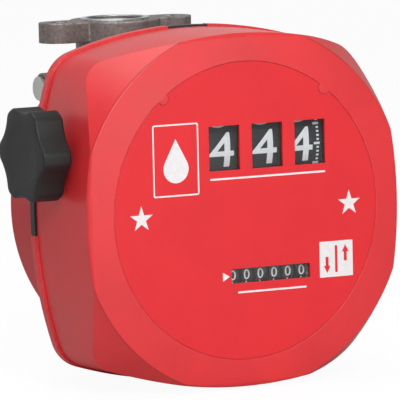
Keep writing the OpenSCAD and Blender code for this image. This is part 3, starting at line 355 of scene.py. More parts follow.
def build_scuffs():
    """Thin scratches in two directions, as a mask."""
    tree, given, result = effect(
        "Light Scuffs", [("Place", VECTOR, None), ("Scale", VALUE, 60.0), ("Amount", VALUE, 0.3)],
        [("Mask", VALUE)])
    masks = []
    for turn, stretch in ((0.5, (14.0, 1.0, 1.3)), (-0.9, (1.2, 1.0, 17.0))):
        turned = node(tree, "Mapping", {
            "Vector": given["Place"], "Rotation": (0.2, turn, 0.1), "Scale": stretch})
        streaks = noise(tree, turned.outputs[0], given["Scale"], 2.0, distortion=0.4)
        masks.append(remap(tree, streaks, 0.69, 0.78, 0.0, 1.0))
    both = math_node(tree, "MAXIMUM", masks[0], masks[1])
    tree.links.new(product(tree, both, given["Amount"], clamp=True), result["Mask"])


def build_edges():
    """Eases sharp edges in the normal, and gives a mask of where they are worn."""
    tree, given, result = effect(
        "Eased Edges", [("Place", VECTOR, None), ("Radius", VALUE, 0.0004), ("Wear", VALUE, 0.3)],
        [("Normal", VECTOR), ("Mask", VALUE)])
    eased = node(tree, "Bevel", {"Radius": given["Radius"]}, samples=6)
    plain = node(tree, "NewGeometry")
    match = node(tree, "VectorMath", {0: eased.outputs[0], 1: plain.outputs["Normal"]},
                 operation="DOT_PRODUCT")
    edge = remap(tree, match.outputs["Value"], 0.995, 0.90, 0.0, 1.0)
    patches = remap(tree, noise(tree, given["Place"], 350.0, 3.0), 0.42, 0.62, 0.0, 1.0)
    worn = product(tree, edge, patches)
    tree.links.new(eased.outputs[0], result["Normal"])
    tree.links.new(product(tree, worn, given["Wear"], clamp=True), result["Mask"])


def build_dust():
    """Dust that settles on what faces up, as a mask."""
    tree, given, result = effect(
        "Settled Dust", [("Place", VECTOR, None), ("Amount", VALUE, 0.2)], [("Mask", VALUE)])
    plain = node(tree, "NewGeometry")
    height = node(tree, "SeparateXYZ", {0: plain.outputs["Normal"]})
    facing_up = remap(tree, height.outputs["Z"], 0.35, 1.0, 0.0, 1.0)
    patches = remap(tree, noise(tree, given["Place"], 45.0, 6.0, 0.7), 0.35, 0.7, 0.15, 1.0)
    lying = product(tree, facing_up, patches)
    tree.links.new(product(tree, lying, given["Amount"], clamp=True), result["Mask"])


def build_cast_skin():
    """Rough skin of a sand casting: a height, and a tone of dark pits and pale crests."""
    tree, given, result = effect(
        "Cast Skin", [("Place", VECTOR, None), ("Scale", VALUE, 420.0)],
        [("Height", VALUE), ("Tone", VALUE)])
    lumps = noise(tree, given["Place"], given["Scale"], 6.0, 0.65, 0.6)
    pits = node(tree, "TexVoronoi", {
        "Vector": given["Place"], "Scale": product(tree, given["Scale"], 1.7)})
    pit = remap(tree, pits.outputs["Distance"], 0.0, 0.35, 0.0, 1.0)
    grit = noise(tree, given["Place"], product(tree, given["Scale"], 5.0), 2.0)
    height = math_node(tree, "ADD", product(tree, lumps, 1.2),
                       math_node(tree, "ADD", product(tree, pit, 0.25),
                                 product(tree, grit, 0.35)))
    tree.links.new(height, result["Height"])
    tree.links.new(remap(tree, lumps, 0.34, 0.66, 0.0, 1.0), result["Tone"])


def build_turned_lines():
    """Fine rings left by a lathe, round a line along one axis, as a height."""
    tree, given, result = effect(
        "Turned Lines", [("Offset", VECTOR, None), ("Pitch", VALUE, 0.0002)], [("Height", VALUE)])
    reach = node(tree, "VectorMath", {0: given["Offset"]}, operation="LENGTH")
    turn = product(tree, reach.outputs["Value"], 2 * math.pi)
    wave = math_node(tree, "SINE", math_node(tree, "DIVIDE", turn, given["Pitch"]))
    patches = remap(tree, noise(tree, given["Offset"], 900.0, 3.0), 0.3, 0.7, 0.4, 1.0)
    tree.links.new(product(tree, wave, patches), result["Height"])


def build_effects():
    """Builds every shared effect."""
    for build in (build_mottle, build_grain, build_scuffs, build_edges, build_dust,
                  build_cast_skin, build_turned_lines):
        build()


def rgba(colour, share=1.0):
    """A colour for a socket, dimmed or lifted by a share."""
    return (*[min(1.0, c * share) for c in colour[:3]], 1.0)


def lighter(colour, lift):
    """A colour moved towards white."""
    return tuple(c + (1 - c) * lift for c in colour[:3])


def new_finish(name):
    """A material with its node tree, its shader and the surface's own coordinates."""
    material = bpy.data.materials.new(name)
    material.use_nodes = True
    tree = material.node_tree
    shader = tree.nodes["Principled BSDF"]
    where = node(tree, "TexCoord").outputs["Object"]
    return material, tree, shader, where


def moulded_plastic(name, colour, roughness=0.42, grain=1400.0, relief=0.10, ease=0.0005,
                    wear=0.25, dust=0.05, specular=0.5, tone=0.07):
    """Moulded plastic: fine skin, slow changes of tone, eased and slightly worn edges."""
    material, tree, shader, where = new_finish(name)
    mottle = place(tree, "Slow Mottle", where, {"Scale": 28.0})["Tone"]
    edges = place(tree, "Eased Edges", where, {"Radius": ease, "Wear": wear})
    scuffs = place(tree, "Light Scuffs", where, {"Scale": 55.0, "Amount": 0.35})["Mask"]
    settled = place(tree, "Settled Dust", where, {"Amount": dust})["Mask"]
    skin = place(tree, "Fine Grain", where, {"Scale": grain})["Height"]
    base = mix_colour(tree, mottle, rgba(colour, 1 - tone), rgba(colour, 1 + tone))
    base = mix_colour(tree, edges["Mask"], base, rgba(lighter(colour, 0.22)))
    scuffed = product(tree, scuffs, 0.10)
    base = mix_colour(tree, scuffed, base, rgba(lighter(colour, 0.3)))
    base = mix_colour(tree, settled, base, DUST)
    rough = remap(tree, mottle, 0.0, 1.0, roughness - 0.04, roughness + 0.05)
    rough = math_node(tree, "ADD", rough, scuffed)
    dusty = product(tree, settled, 0.3)
    feed(tree, shader.inputs, {
        "Base Color": base, "Roughness": math_node(tree, "ADD", rough, dusty, clamp=True),
        "Normal": bump(tree, skin, relief, 0.0002, edges["Normal"]),
        "Specular IOR Level": specular})
    return material


def add_mould_line(material):
    """Paints shade as a dark thin line round the dial's axis, along the crease of the cover's
    front ring, on the cover's front only.
    """
    tree = material.node_tree
    shader = tree.nodes["Principled BSDF"]
    where = node(tree, "TexCoord").outputs["Object"]
    offset = node(tree, "VectorMath", {0: where, 1: (0.0, 0.0, DIAL_UP * MM)},
                  operation="SUBTRACT")
    flat = node(tree, "VectorMath", {0: offset.outputs[0], 1: (1.0, 0.0, 1.0)},
                operation="MULTIPLY")
    reach = node(tree, "VectorMath", {0: flat.outputs[0]}, operation="LENGTH").outputs["Value"]
    off = math_node(tree, "ABSOLUTE", math_node(tree, "SUBTRACT", reach, CREASE_R * MM))
    line = remap(tree, off, CREASE_SHADE_WIDTH / 2, CREASE_SHADE_WIDTH, CREASE_SHADE_SHARE, 0.0)
    forward = node(tree, "SeparateXYZ", {0: where}).outputs["Y"]
    near = math_node(tree, "LESS_THAN", forward, CREASE_SHADE_DEPTH - COVER_FRONT * MM)
    base = shader.inputs["Base Color"].links[0].from_socket
    # painted shade: the cover's colour is mixed towards dark red along the crease
    crease_shaded = mix_colour(tree, product(tree, line, near), base, CREASE_SHADE_RED)
    tree.links.new(crease_shaded, shader.inputs["Base Color"])


def turned_metal(name, colour, roughness=0.32, pitch=0.0003, axis="x", tarnish=(0.30, 0.26, 0.20)):
    """Turned or stamped metal: lathe lines, tarnish in patches and bright edges."""
    material, tree, shader, where = new_finish(name)
    mottle = place(tree, "Slow Mottle", where, {"Scale": 90.0})["Tone"]
    edges = place(tree, "Eased Edges", where, {"Radius": 0.0002, "Wear": 0.4})
    keep = {"x": (0.0, 1.0, 1.0), "y": (1.0, 0.0, 1.0), "z": (1.0, 1.0, 0.0)}[axis]
    flat = node(tree, "VectorMath", {0: where, 1: keep}, operation="MULTIPLY")
    lines = place(tree, "Turned Lines", flat.outputs[0], {"Pitch": pitch})["Height"]
    base = mix_colour(tree, product(tree, mottle, 0.35), rgba(colour), rgba(tarnish))
    base = mix_colour(tree, edges["Mask"], base, rgba(lighter(colour, 0.45)))
    feed(tree, shader.inputs, {
        "Base Color": base,
        "Roughness": remap(tree, mottle, 0.0, 1.0, roughness - 0.05, roughness + 0.14),
        "Normal": bump(tree, lines, 0.15, 0.00006, edges["Normal"]),
        "Metallic": 1.0})
    return material


def cast_metal(name, colour, machined, ring_faces, ring_r):
    """Bare sand-cast aluminium, machined bright on the two port rings and in their bores."""
    material, tree, shader, where = new_finish(name)
    skin = place(tree, "Cast Skin", where, {"Scale": 620.0})
    stain = place(tree, "Slow Mottle", where, {"Scale": 24.0})["Tone"]
    edges = place(tree, "Eased Edges", where, {"Radius": 0.0016, "Wear": 0.8})
    settled = place(tree, "Settled Dust", where, {"Amount": 0.22})["Mask"]
    base = mix_colour(tree, skin["Tone"], rgba(colour, 0.80), rgba(lighter(colour, 0.10)))
    base = mix_colour(tree, product(tree, stain, 0.30), base, rgba(CAST_STAIN))
    base = mix_colour(tree, edges["Mask"], base, rgba(lighter(colour, 0.55)))
    base = mix_colour(tree, settled, base, CAST_DUST)
    split = node(tree, "SeparateXYZ", {0: where})
    flat = node(tree, "CombineXYZ", {0: split.outputs["X"], 1: split.outputs["Y"]})
    reach = node(tree, "VectorMath", {0: flat.outputs[0]}, operation="LENGTH").outputs["Value"]
    near_axis = math_node(tree, "LESS_THAN", reach, ring_r)
    high = math_node(tree, "GREATER_THAN", split.outputs["Z"], ring_faces[1])
    low = math_node(tree, "LESS_THAN", split.outputs["Z"], ring_faces[0])
    cut = product(tree, near_axis, math_node(tree, "MAXIMUM", high, low))
    lines = place(tree, "Turned Lines", flat.outputs[0], {"Pitch": 0.0005})["Height"]
    bright = mix_colour(tree, product(tree, stain, 0.25), rgba(machined), rgba(TOOL_GREY))
    rough = remap(tree, skin["Tone"], 0.0, 1.0, 0.60, 0.46)
    lathe = product(tree, lines, 0.04)
    height = node(tree, "Mix", {0: cut, 2: skin["Height"], 3: lathe}).outputs[0]
    feed(tree, shader.inputs, {
        "Base Color": mix_colour(tree, cut, base, bright),
        "Roughness": node(tree, "Mix", {0: cut, 2: rough, 3: 0.30}).outputs[0],
        "Metallic": remap(tree, cut, 0.0, 1.0, 0.65, 1.0),
        "Normal": bump(tree, height, 0.55, 0.0004, edges["Normal"])})
    return material


def soft_rubber(name, colour):
    """Black seal rubber with a dull bloom."""
    material, tree, shader, where = new_finish(name)
    mottle = place(tree, "Slow Mottle", where, {"Scale": 120.0})["Tone"]
    skin = place(tree, "Fine Grain", where, {"Scale": 2500.0})["Height"]
    feed(tree, shader.inputs, {
        "Base Color": mix_colour(tree, mottle, rgba(colour), rgba(lighter(colour, 0.05))),
        "Roughness": remap(tree, mottle, 0.0, 1.0, 0.6, 0.8),
        "Normal": bump(tree, skin, 0.2, 0.0001)})
    return material


def printed_ink(name, colour):
    """Screen-printed ink, a little uneven in cover."""
    material, tree, shader, where = new_finish(name)
    mottle = place(tree, "Slow Mottle", where, {"Scale": 500.0})["Tone"]
    skin = place(tree, "Fine Grain", where, {"Scale": 4000.0})["Height"]
    feed(tree, shader.inputs, {
        "Base Color": mix_colour(tree, mottle, rgba(colour, 0.93), rgba(colour, 1.03)),
        "Roughness": remap(tree, mottle, 0.0, 1.0, 0.39, 0.51),
        "Normal": bump(tree, skin, 0.08, 0.0001)})
    return material


def clear_pane(name):
    """Clear window pane that lets the lamps' light through to the number wheels."""
    material, tree, shader, where = new_finish(name)
    haze = place(tree, "Slow Mottle", where, {"Scale": 70.0})["Tone"]
    feed(tree, shader.inputs, {
        "Base Color": (0.97, 0.99, 0.985, 1.0), "Transmission Weight": 1.0, "IOR": 1.46,
        "Specular IOR Level": 0.25, "Roughness": remap(tree, haze, 0.0, 1.0, 0.01, 0.05)})
    path = node(tree, "LightPath")
    passing = node(tree, "BsdfTransparent", {"Color": (0.94, 0.96, 0.955, 1.0)})
    both = math_node(tree, "MAXIMUM", path.outputs["Is Shadow Ray"],
                     path.outputs["Is Diffuse Ray"])
    mix_surfaces(tree, both, shader, passing)
    return material


# Mesh building

def world(x, forward, up):
    """A point of the meter in Blender's metres."""
    return Vector((x * MM, -forward * MM, up * MM))


def add_piece(name, points, faces, body, material, smooth=False):
    """Makes a mesh piece from points in metres, and lets it ride on its body."""
    mesh = bpy.data.meshes.new(name)
    mesh.from_pydata([tuple(p) for p in points], [], faces)
    mesh.validate()
    work = bmesh.new()
    work.from_mesh(mesh)
    bmesh.ops.recalc_face_normals(work, faces=work.faces)
    work.to_mesh(mesh)
    work.free()
    if smooth:
        mesh.polygons.foreach_set("use_smooth", [True] * len(mesh.polygons))
    mesh.materials.append(material)
    piece = bpy.data.objects.new(name, mesh)
    bpy.context.scene.collection.objects.link(piece)
    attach(piece, body)
    return piece


def paint(nodes, material):
    """Gives CAD nodes a finish."""
    for name in nodes:
        mesh = frame["nodes"][name].data
        mesh.materials.clear()
        mesh.materials.append(material)


def smooth_by_angle(name, degrees=28.0):
    """Smooths a CAD node's shading except over its sharp edges."""
    piece = frame["nodes"][name]
    mesh = piece.data
    work = bmesh.new()
    work.from_mesh(mesh)
    for edge in work.edges:
        joined = len(edge.link_faces) == 2
        edge.smooth = joined and edge.calc_face_angle(0.0) < math.radians(degrees)
    for face in work.faces:
        face.smooth = True
    work.to_mesh(mesh)
    work.free()


def plate_mesh(loops, front, thickness):
    """Points and faces of flat plates on the dial, from outlines in [x, up] from its middle.

    The first outline of each entry is the outer one, and the others are holes in it.
    """
    points, faces = [], []
    for outlines in loops:
        flat = [[Vector((x, up, 0.0)) for x, up in outline] for outline in outlines]
        triangles = tessellate_polygon(flat)
        ordered = [p for outline in flat for p in outline]
        start = len(points)
        count = len(ordered)
        for depth in (0.0, thickness):
            points += [world(p.x, front - depth, DIAL_UP + p.y) for p in ordered]
        faces += [tuple(start + i for i in t) for t in triangles]
        faces += [tuple(start + count + i for i in reversed(t)) for t in triangles]
        first = start
        for outline in flat:
            n = len(outline)
            for i in range(n):
                j = (i + 1) % n
                faces.append((first + i, first + j, first + count + j, first + count + i))
            first += n
    return points, faces


def round_box(x, up, width, height, radius, steps=6):
    """Outline of a box with round corners, round its middle."""
    outline = []
    for corner, (sx, sy) in enumerate(((1, 1), (-1, 1), (-1, -1), (1, -1))):
        cx, cy = x + sx * (width / 2 - radius), up + sy * (height / 2 - radius)
        for i in range(steps + 1):
            a = math.pi / 2 * (corner + i / steps)
            outline.append((cx + radius * math.cos(a), cy + radius * math.sin(a)))
    return outline


def star(x, up, radius):
    """Outline of a plain five-pointed star."""
    inner = radius * math.sin(math.radians(18)) / math.sin(math.radians(54))
    return [(x + r * math.cos(a), up + r * math.sin(a))
            for k in range(5)
            for r, a in ((radius, math.radians(90 + 72 * k)), (inner, math.radians(126 + 72 * k)))]


def drop(x, up, radius, steps=40):
    """Outline of a drop with its point upward."""
    point = 2.1 * radius
    lean = math.acos(radius / point)
    arc = [math.pi / 2 + lean + (2 * math.pi - 2 * lean) * i / steps for i in range(steps + 1)]
    return [(x, up + point)] + [(x + radius * math.cos(a), up + radius * math.sin(a)) for a in arc]


def arrow(x, up, width, height):
    """Outline of a plain arrow round its middle. A negative height points it down."""
    head, stem = height * 0.45, width * 0.22
    top, neck, foot = up + height / 2, up + height / 2 - head, up - height / 2
    return [(x, top), (x + width / 2, neck), (x + stem, neck), (x + stem, foot),
            (x - stem, foot), (x - stem, neck), (x - width / 2, neck)]


def embolden(work, weight):
    """Moves a flat shape's rim outwards, so its strokes gain weight and its holes stay open."""
    facing = Vector((0, 0, 1))
    moves = {}
    for vert in work.verts:
        sides = []
        for edge in vert.link_edges:
            if edge.is_boundary:
                loop = edge.link_loops[0]
                along = loop.link_loop_next.vert.co - loop.vert.co
                sides.append(along.cross(facing).normalized())
        if len(sides) == 2:
            middle = (sides[0] + sides[1]).normalized()
            moves[vert] = middle * (weight / max(middle.dot(sides[0]), MITRE))
    for vert, move in moves.items():
        vert.co += move
    bmesh.ops.dissolve_degenerate(work, edges=work.edges[:], dist=weight * 0.1)


def digit_mesh(text, width, height, weight):
    """One digit as a flat mesh cut into thin bands. Width and height are those of a wide digit."""
    curve = bpy.data.curves.new("digit_outline", "FONT")
    curve.body = text
    curve.size = 1.0
    curve.resolution_u = 8
    holder = bpy.data.objects.new("digit_outline", curve)
    bpy.context.scene.collection.objects.link(holder)
    view = bpy.context.evaluated_depsgraph_get()
    mesh = bpy.data.meshes.new_from_object(holder.evaluated_get(view))
    bpy.data.objects.remove(holder)
    bpy.data.curves.remove(curve)
    work = bmesh.new()
    work.from_mesh(mesh)
    bpy.data.meshes.remove(mesh)
    xs = [v.co.x for v in work.verts]
    ys = [v.co.y for v in work.verts]
    middle = (max(xs) + min(xs)) / 2, (max(ys) + min(ys)) / 2
    for v in work.verts:
        v.co.x = (v.co.x - middle[0]) / FONT_DIGIT[0] * (width - 2 * weight)
        v.co.y = (v.co.y - middle[1]) / FONT_DIGIT[1] * (height - 2 * weight)
        v.co.z = 0.0
    bmesh.ops.remove_doubles(work, verts=work.verts, dist=height * SHORT_EDGE)
    embolden(work, weight)
    for i in range(1, DIGIT_BANDS):
        level = height * (i / DIGIT_BANDS - 0.5)
        bmesh.ops.bisect_plane(
            work, geom=[*work.verts, *work.edges, *work.faces],
            plane_co=(0, level, 0), plane_no=(0, 1, 0))
    bmesh.ops.remove_doubles(work, verts=work.verts, dist=height * 1e-4)
    work.verts.index_update()
    points = [(v.co.x, v.co.y) for v in work.verts]
    faces = [tuple(v.index for v in f.verts) for f in work.faces]
    work.free()
    return points, faces


def thicken(points, faces):
    """Closes flat print into a thin solid. Each point is (front point, back point)."""
    count = len(points)
    solid = [p[0] for p in points] + [p[1] for p in points]
    closed = list(faces) + [tuple(count + i for i in reversed(f)) for f in faces]
    used = {}
    for face in faces:
        for i, a in enumerate(face):
            b = face[(i + 1) % len(face)]
            used[(a, b)] = used.get((a, b), 0) + 1
    for (a, b) in list(used):
        if (b, a) not in used:
            closed.append((b, a, count + a, count + b))
    return solid, closed


def on_drum(axis, radius, x, arc, ink):
    """A point of the print on a number wheel, over and under its surface.

    arc is the length along the surface, up from the front.
    """
    angle = arc / radius
    pair = []
    for r in (radius + ink, radius - ink / 4):
        pair.append(world(axis.x + x, -axis.y + r * math.cos(angle), axis.z + r * math.sin(angle)))
    return pair


def wheel_digits(wheel, digit_size, shown, shift, drop_mm, ink):
    """The ten digits round a number wheel, with the shown one in front, and the wheel's drum."""
    low, high = box_mm(wheel)
    axis = (low + high) / 2
    radius = (high.z - low.z) / 2
    points, faces = [], []
    for digit in range(10):
        flat, cells = digit_mesh(str(digit), *digit_size)
        arc = (shown - digit) * DIGIT_STEP * radius - drop_mm
        start = len(points)
        points += [on_drum(axis, radius, x + shift, up + arc, ink) for x, up in flat]
        faces += [tuple(start + i for i in cell) for cell in cells]
    return (axis, radius), points, faces


def add_marks(drum, points, faces, sizes, drop_mm, ink):
    """Adds the graduation of the units wheel, with every fifth mark longer."""
    axis, radius = drum
    pitch = DIGIT_STEP * radius / MARKS_PER_DIGIT
    for mark in range(10 * MARKS_PER_DIGIT):
        long = mark % LONG_MARK_STEP == 0
        half = LONG_MARK_HALF if long else SHORT_MARK_HALF
        length = (sizes.bar_length if long else sizes.tick_length) / MM
        right = LONG_MARK_END if long else SHORT_MARK_END
        left = right - length
        start = len(points)
        points += [on_drum(axis, radius, x, mark * pitch + up - drop_mm, ink)
                   for x, up in ((left, -half), (right, -half), (right, half), (left, half))]
        faces.append(tuple(start + i for i in range(4)))


def knob_outline(angle, lobes, crest, flute):
    """Radius of the knob: round lobes with a round flute of the given depth between each two."""
    half = FLUTE_SHARE * math.pi / lobes
    sag = flute - crest * (1 - math.cos(half))
    flute_r = ((crest * math.sin(half)) ** 2 + sag ** 2) / (2 * sag)
    reach = crest - flute + flute_r
    total = 0.0
    for lean in FLUTE_EASE:
        off = (angle + lean) % (2 * math.pi / lobes) - math.pi / lobes
        cut = flute_r ** 2 - (reach * math.sin(off)) ** 2
        inside = abs(off) < half and cut > 0
        total += reach * math.cos(off) - math.sqrt(cut) if inside else crest
    return total / len(FLUTE_EASE)


def thread_mesh(start, rise, pitch):
    """A port's thread as one ridge that winds along the bore and runs out at both ends."""
    points, faces = [], []
    total = THREAD_TURNS * THREAD_STEPS
    for i in range(total + 1):
        a = 2 * math.pi * i / THREAD_STEPS
        fade = min(1.0, i / THREAD_STEPS * 2, (total - i) / THREAD_STEPS * 2)
        z = start + rise * i / THREAD_STEPS
        crest = THREAD_WALL - (THREAD_WALL - THREAD_CREST) * fade
        for r, dz in ((THREAD_WALL, -THREAD_FOOT_HALF), (crest, -THREAD_CREST_HALF),
                      (crest, THREAD_CREST_HALF), (THREAD_WALL, THREAD_FOOT_HALF)):
            points.append(world(r * math.cos(a), r * math.sin(a), z + dz * pitch))
        if i:
            base = 4 * (i - 1)
            for k in range(4):
                m = (k + 1) % 4
                faces.append((base + k, base + m, base + 4 + m, base + 4 + k))
    faces += [(3, 2, 1, 0), tuple(4 * total + k for k in range(4))]
    return points, faces


class METER_OT_effects(bpy.types.Operator):
    """Builds the effects that the finishes share"""

    bl_idname = "meter.effects"
    bl_label = "Shared effects"

    def execute(self, context):
        build_effects()
        return {"FINISHED"}


class METER_OT_cover(bpy.types.Operator):
    """Finishes the red cover and the rear shell"""

    bl_idname = "meter.cover"
    bl_label = "Cover and rear shell"

    def execute(self, context):
        colours = context.scene.meter_colours
        red = moulded_plastic(
            "cover_red", colours.cover, roughness=0.36, relief=0.07, ease=0.0010, dust=0.03)
        # painted shade: a dark line along the crease of the cover's front ring
        add_mould_line(red)
        paint(["front_cover"], red)
        paint(["rear_shell"], moulded_plastic(
            "shell_red", colours.shell, roughness=0.48, relief=0.12, ease=0.0008, dust=0.06))
        return {"FINISHED"}


class METER_OT_dial(bpy.types.Operator):
    """Finishes the dial and lays its print"""

    bl_idname = "meter.dial"
    bl_label = "Dial and its print"

    def execute(self, context):
        colours = context.scene.meter_colours
        sizes = context.scene.meter_sizes
        paint(["dial_plate"], moulded_plastic(
            "dial_red", colours.dial, roughness=0.36, grain=2600.0, relief=0.04, ease=0.0003,
            wear=0.1, dust=0.0, tone=0.03, specular=0.35))
        white = printed_ink("dial_print", colours.print_white)
        front = DIAL_FRONT + sizes.ink / MM
        thickness = sizes.ink / MM * PRINT_DEPTH
        rule = sizes.rule_width / MM
        radius = sizes.star_radius / MM
        line, border = RULE_LINE * rule, 2 * FRAME_LINE * rule
        x, up, width, height = DROP_FRAME
        plates = [[star(*spot, radius)] for spot in STARS]
        plates.append([round_box(x, up, width, height, FRAME_CORNERS[0]),
                       round_box(x, up, width - border, height - border, FRAME_CORNERS[1])])
        plates.append([drop(*DROP_SPOT, DROP_R)])
        plates.append([round_box(*ARROW_CARD, CARD_CORNER), *[arrow(*spot) for spot in ARROWS],
                       round_box(*CARD_BAR, CARD_BAR[2] / 2)])
        plates.append([POINTER])
        plates += [[round_box(x, up, length, line, line / 4)] for x, up, length in RULES]
        points, faces = plate_mesh(plates, front, thickness)
        add_piece("dial_print", points, faces, "case", white)
        return {"FINISHED"}


class METER_OT_pane(bpy.types.Operator):
    """Finishes the pane behind the windows"""

    bl_idname = "meter.pane"
    bl_label = "Window pane"

    def execute(self, context):
        paint(["window_lens"], clear_pane("pane_clear"))
        return {"FINISHED"}


class METER_OT_number_wheels(bpy.types.Operator):
    """Finishes the three big number wheels and prints their digits and graduation"""

    bl_idname = "meter.number_wheels"
    bl_label = "Number wheels"

    def execute(self, context):
        colours = context.scene.meter_colours
        sizes = context.scene.meter_sizes
        paint(BIG_WHEELS, moulded_plastic(
            "drum_black", colours.drum, roughness=0.5, grain=1800.0, relief=0.05, ease=0.0002,
            wear=0.1, dust=0.0, specular=0.22))
        ink_white = printed_ink("digit_grey", colours.digit)
        ink = sizes.ink / MM
        width, height = sizes.digit_width / MM, sizes.digit_height / MM
        weight = sizes.digit_weight / MM
        drop_mm = sizes.digit_drop / MM
        for wheel, (body, shift) in BIG_WHEELS.items():
            drum, points, faces = wheel_digits(
                wheel, (width, height, weight), SHOWN_DIGIT, shift, drop_mm, ink)
            if wheel == "units_wheel":
                add_marks(drum, points, faces, sizes, drop_mm, ink)
            solid, closed = thicken(points, faces)
            add_piece(wheel + "_print", solid, closed, body, ink_white)
        return {"FINISHED"}


class METER_OT_totaliser(bpy.types.Operator):
    """Finishes the totaliser's wheels and prints their digits"""

    bl_idname = "meter.totaliser"
    bl_label = "Totaliser wheels"

    def execute(self, context):
        colours = context.scene.meter_colours
        sizes = context.scene.meter_sizes
        paint(SMALL_WHEELS, moulded_plastic(
            "small_drum_black", colours.drum, roughness=0.45, grain=3000.0, relief=0.05,
            ease=0.00015, wear=0.1, dust=0.0))
        ink_white = printed_ink("small_digit_grey", lighter(colours.digit, 0.2))
        ink = sizes.ink / MM
        width, height = sizes.small_digit_width / MM, sizes.small_digit_height / MM
        weight = sizes.digit_weight / MM * height * MM / sizes.digit_height
        for number, wheel in enumerate(SMALL_WHEELS, 1):
            _, points, faces = wheel_digits(wheel, (width, height, weight), 0, 0.0, 0.0, ink)
            solid, closed = thicken(points, faces)
            add_piece(wheel + "_print", solid, closed, f"total_{number}",
                      ink_white)
        return {"FINISHED"}


class METER_OT_knob(bpy.types.Operator):
    """Models the black reset knob with rounded lobes"""

    bl_idname = "meter.knob"
    bl_label = "Reset knob"

    def execute(self, context):
        colours = context.scene.meter_colours
        sizes = context.scene.meter_sizes
        lobes = sizes.knob_lobes
        low, high = box_mm("reset_knob")
        axis = (low + high) / 2
        crest = (high.y - low.y) / 2
        length = high.x - low.x
        flute = sizes.knob_flute / MM
        # profile from the middle of the outer face to the middle of the inner one:
        # (distance from the outer face, inset from the outline, share of the radius)
        profile = [(0.18, None, 0.0), (0.18, None, 0.35), (0.14, None, 0.66), (0.04, None, 0.72),
                   (0.0, None, 0.76), (0.0, 1.5, None), (0.08, 0.95, None), (0.35, 0.4, None),
                   (0.85, 0.08, None), (1.4, 0.0, None), (length - 1.6, 0.0, None),
                   (length - 0.8, 0.15, None), (length - 0.25, 0.55, None), (length, 1.2, None),
                   (length, None, 0.5), (length, None, 0.0)]
        points, faces, rings = [], [], []
        for x, inset, share in profile:
            if share == 0.0:
                rings.append([len(points)])
                points.append(world(low.x + x, -axis.y, axis.z))
                continue
            ring = []
            for i in range(KNOB_STEPS):
                a = 2 * math.pi * i / KNOB_STEPS
                outline = knob_outline(a, lobes, crest, flute)
                r = outline - inset if share is None else (crest - flute) * share
                a -= KNOB_TURN
                ring.append(len(points))
                points.append(world(low.x + x, r * math.cos(a) - axis.y, axis.z + r * math.sin(a)))
            rings.append(ring)
        for first, second in zip(rings, rings[1:]):
            for i in range(KNOB_STEPS):
                j = (i + 1) % KNOB_STEPS
                if len(first) == 1:
                    faces.append((first[0], second[i], second[j]))
                elif len(second) == 1:
                    faces.append((first[i], second[0], first[j]))
                else:
                    faces.append((first[i], second[i], second[j], first[j]))
        black = moulded_plastic(
            "knob_black", colours.knob, roughness=0.50, grain=1100.0, relief=0.16, ease=0.0003,
            wear=0.4, dust=0.02, specular=0.4)
        knob = add_piece("reset_knob_lobed", points, faces, "reset", black,
                         smooth=True)
        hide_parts("reset_knob")
        return {"FINISHED"}


class METER_OT_casting(bpy.types.Operator):
    """Finishes the casting and its lid, and adds the thread in the ports"""

    bl_idname = "meter.casting"
    bl_label = "Casting and ports"

    def execute(self, context):
        colours = context.scene.meter_colours
        sizes = context.scene.meter_sizes
        low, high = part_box("meter_body")
        metal = cast_metal("cast_aluminium", colours.casting, colours.machined,
                           (low.z + MACHINED_DEPTH, high.z - MACHINED_DEPTH), MACHINED_R)
        paint(["meter_body", "body_cover"], metal)
        bright = turned_metal("thread_bright", colours.machined, pitch=0.0004, axis="z")
        pitch = sizes.thread_pitch / MM
        for name, start, way in (("lower_port_thread", THREAD_START, 1),
                                 ("upper_port_thread", high.z / MM - THREAD_START, -1)):
            points, faces = thread_mesh(start, way * pitch, pitch)
            add_piece(name, points, faces, "case", bright)
        return {"FINISHED"}


class METER_OT_fittings(bpy.types.Operator):
    """Finishes the base, the plug, the screws and the seals"""

    bl_idname = "meter.fittings"
    bl_label = "Base, plug, screws and seals"

    def execute(self, context):
        colours = context.scene.meter_colours
        paint(["register_base"], moulded_plastic(
            "base_black", colours.base, roughness=0.5, relief=0.12, wear=0.3, dust=0.05))
        paint(["calibration_plug"], turned_metal(
            "plug_plated", (0.62, 0.62, 0.60), roughness=0.30, tarnish=(0.45, 0.43, 0.38)))
        paint(SCREWS, turned_metal(
            "screw_zinc", (0.60, 0.60, 0.57), roughness=0.35, axis="y",
            tarnish=(0.45, 0.42, 0.30)))
        paint(["body_seal", "shaft_seal", "plug_seal"],
              soft_rubber("seal_black", (0.02, 0.02, 0.02)))
        return {"FINISHED"}


class METER_OT_works(bpy.types.Operator):
    """Finishes the measuring chamber, the gears and the shafts"""

    bl_idname = "meter.works"
    bl_label = "Chamber, gears and shafts"

    def execute(self, context):
        slots = {s["node"]: s["material_slot"] for s in frame["record"]["subparts"]}
        choices = {
            "steel": turned_metal("shaft_steel", (0.56, 0.57, 0.58)),
            "brass": turned_metal("gear_brass", (0.70, 0.50, 0.20), tarnish=(0.40, 0.25, 0.10)),
            "white_plastic": moulded_plastic(
                "gear_white", (0.72, 0.72, 0.68), roughness=0.45, dust=0.02),
            "chamber_plastic": moulded_plastic(
                "chamber_white", (0.68, 0.67, 0.62), roughness=0.5, dust=0.0),
        }
        for name, slot in slots.items():
            if slot in choices and name not in SCREWS:
                paint([name], choices[slot])
        paint(["nutating_disc"], moulded_plastic(
            "disc_black", (0.02, 0.02, 0.022), roughness=0.4, dust=0.0))
        return {"FINISHED"}


class METER_OT_stage(bpy.types.Operator):
    """Sets the pale floor, the studio light and the camera"""

    bl_idname = "meter.stage"
    bl_label = "Stage, light and camera"

    def execute(self, context):
        scene = context.scene
        scene.view_settings.view_transform = "Standard"
        build_floor(scene)
        build_sky(scene)
        build_lamps(scene)
        build_camera(scene)
        return {"FINISHED"}


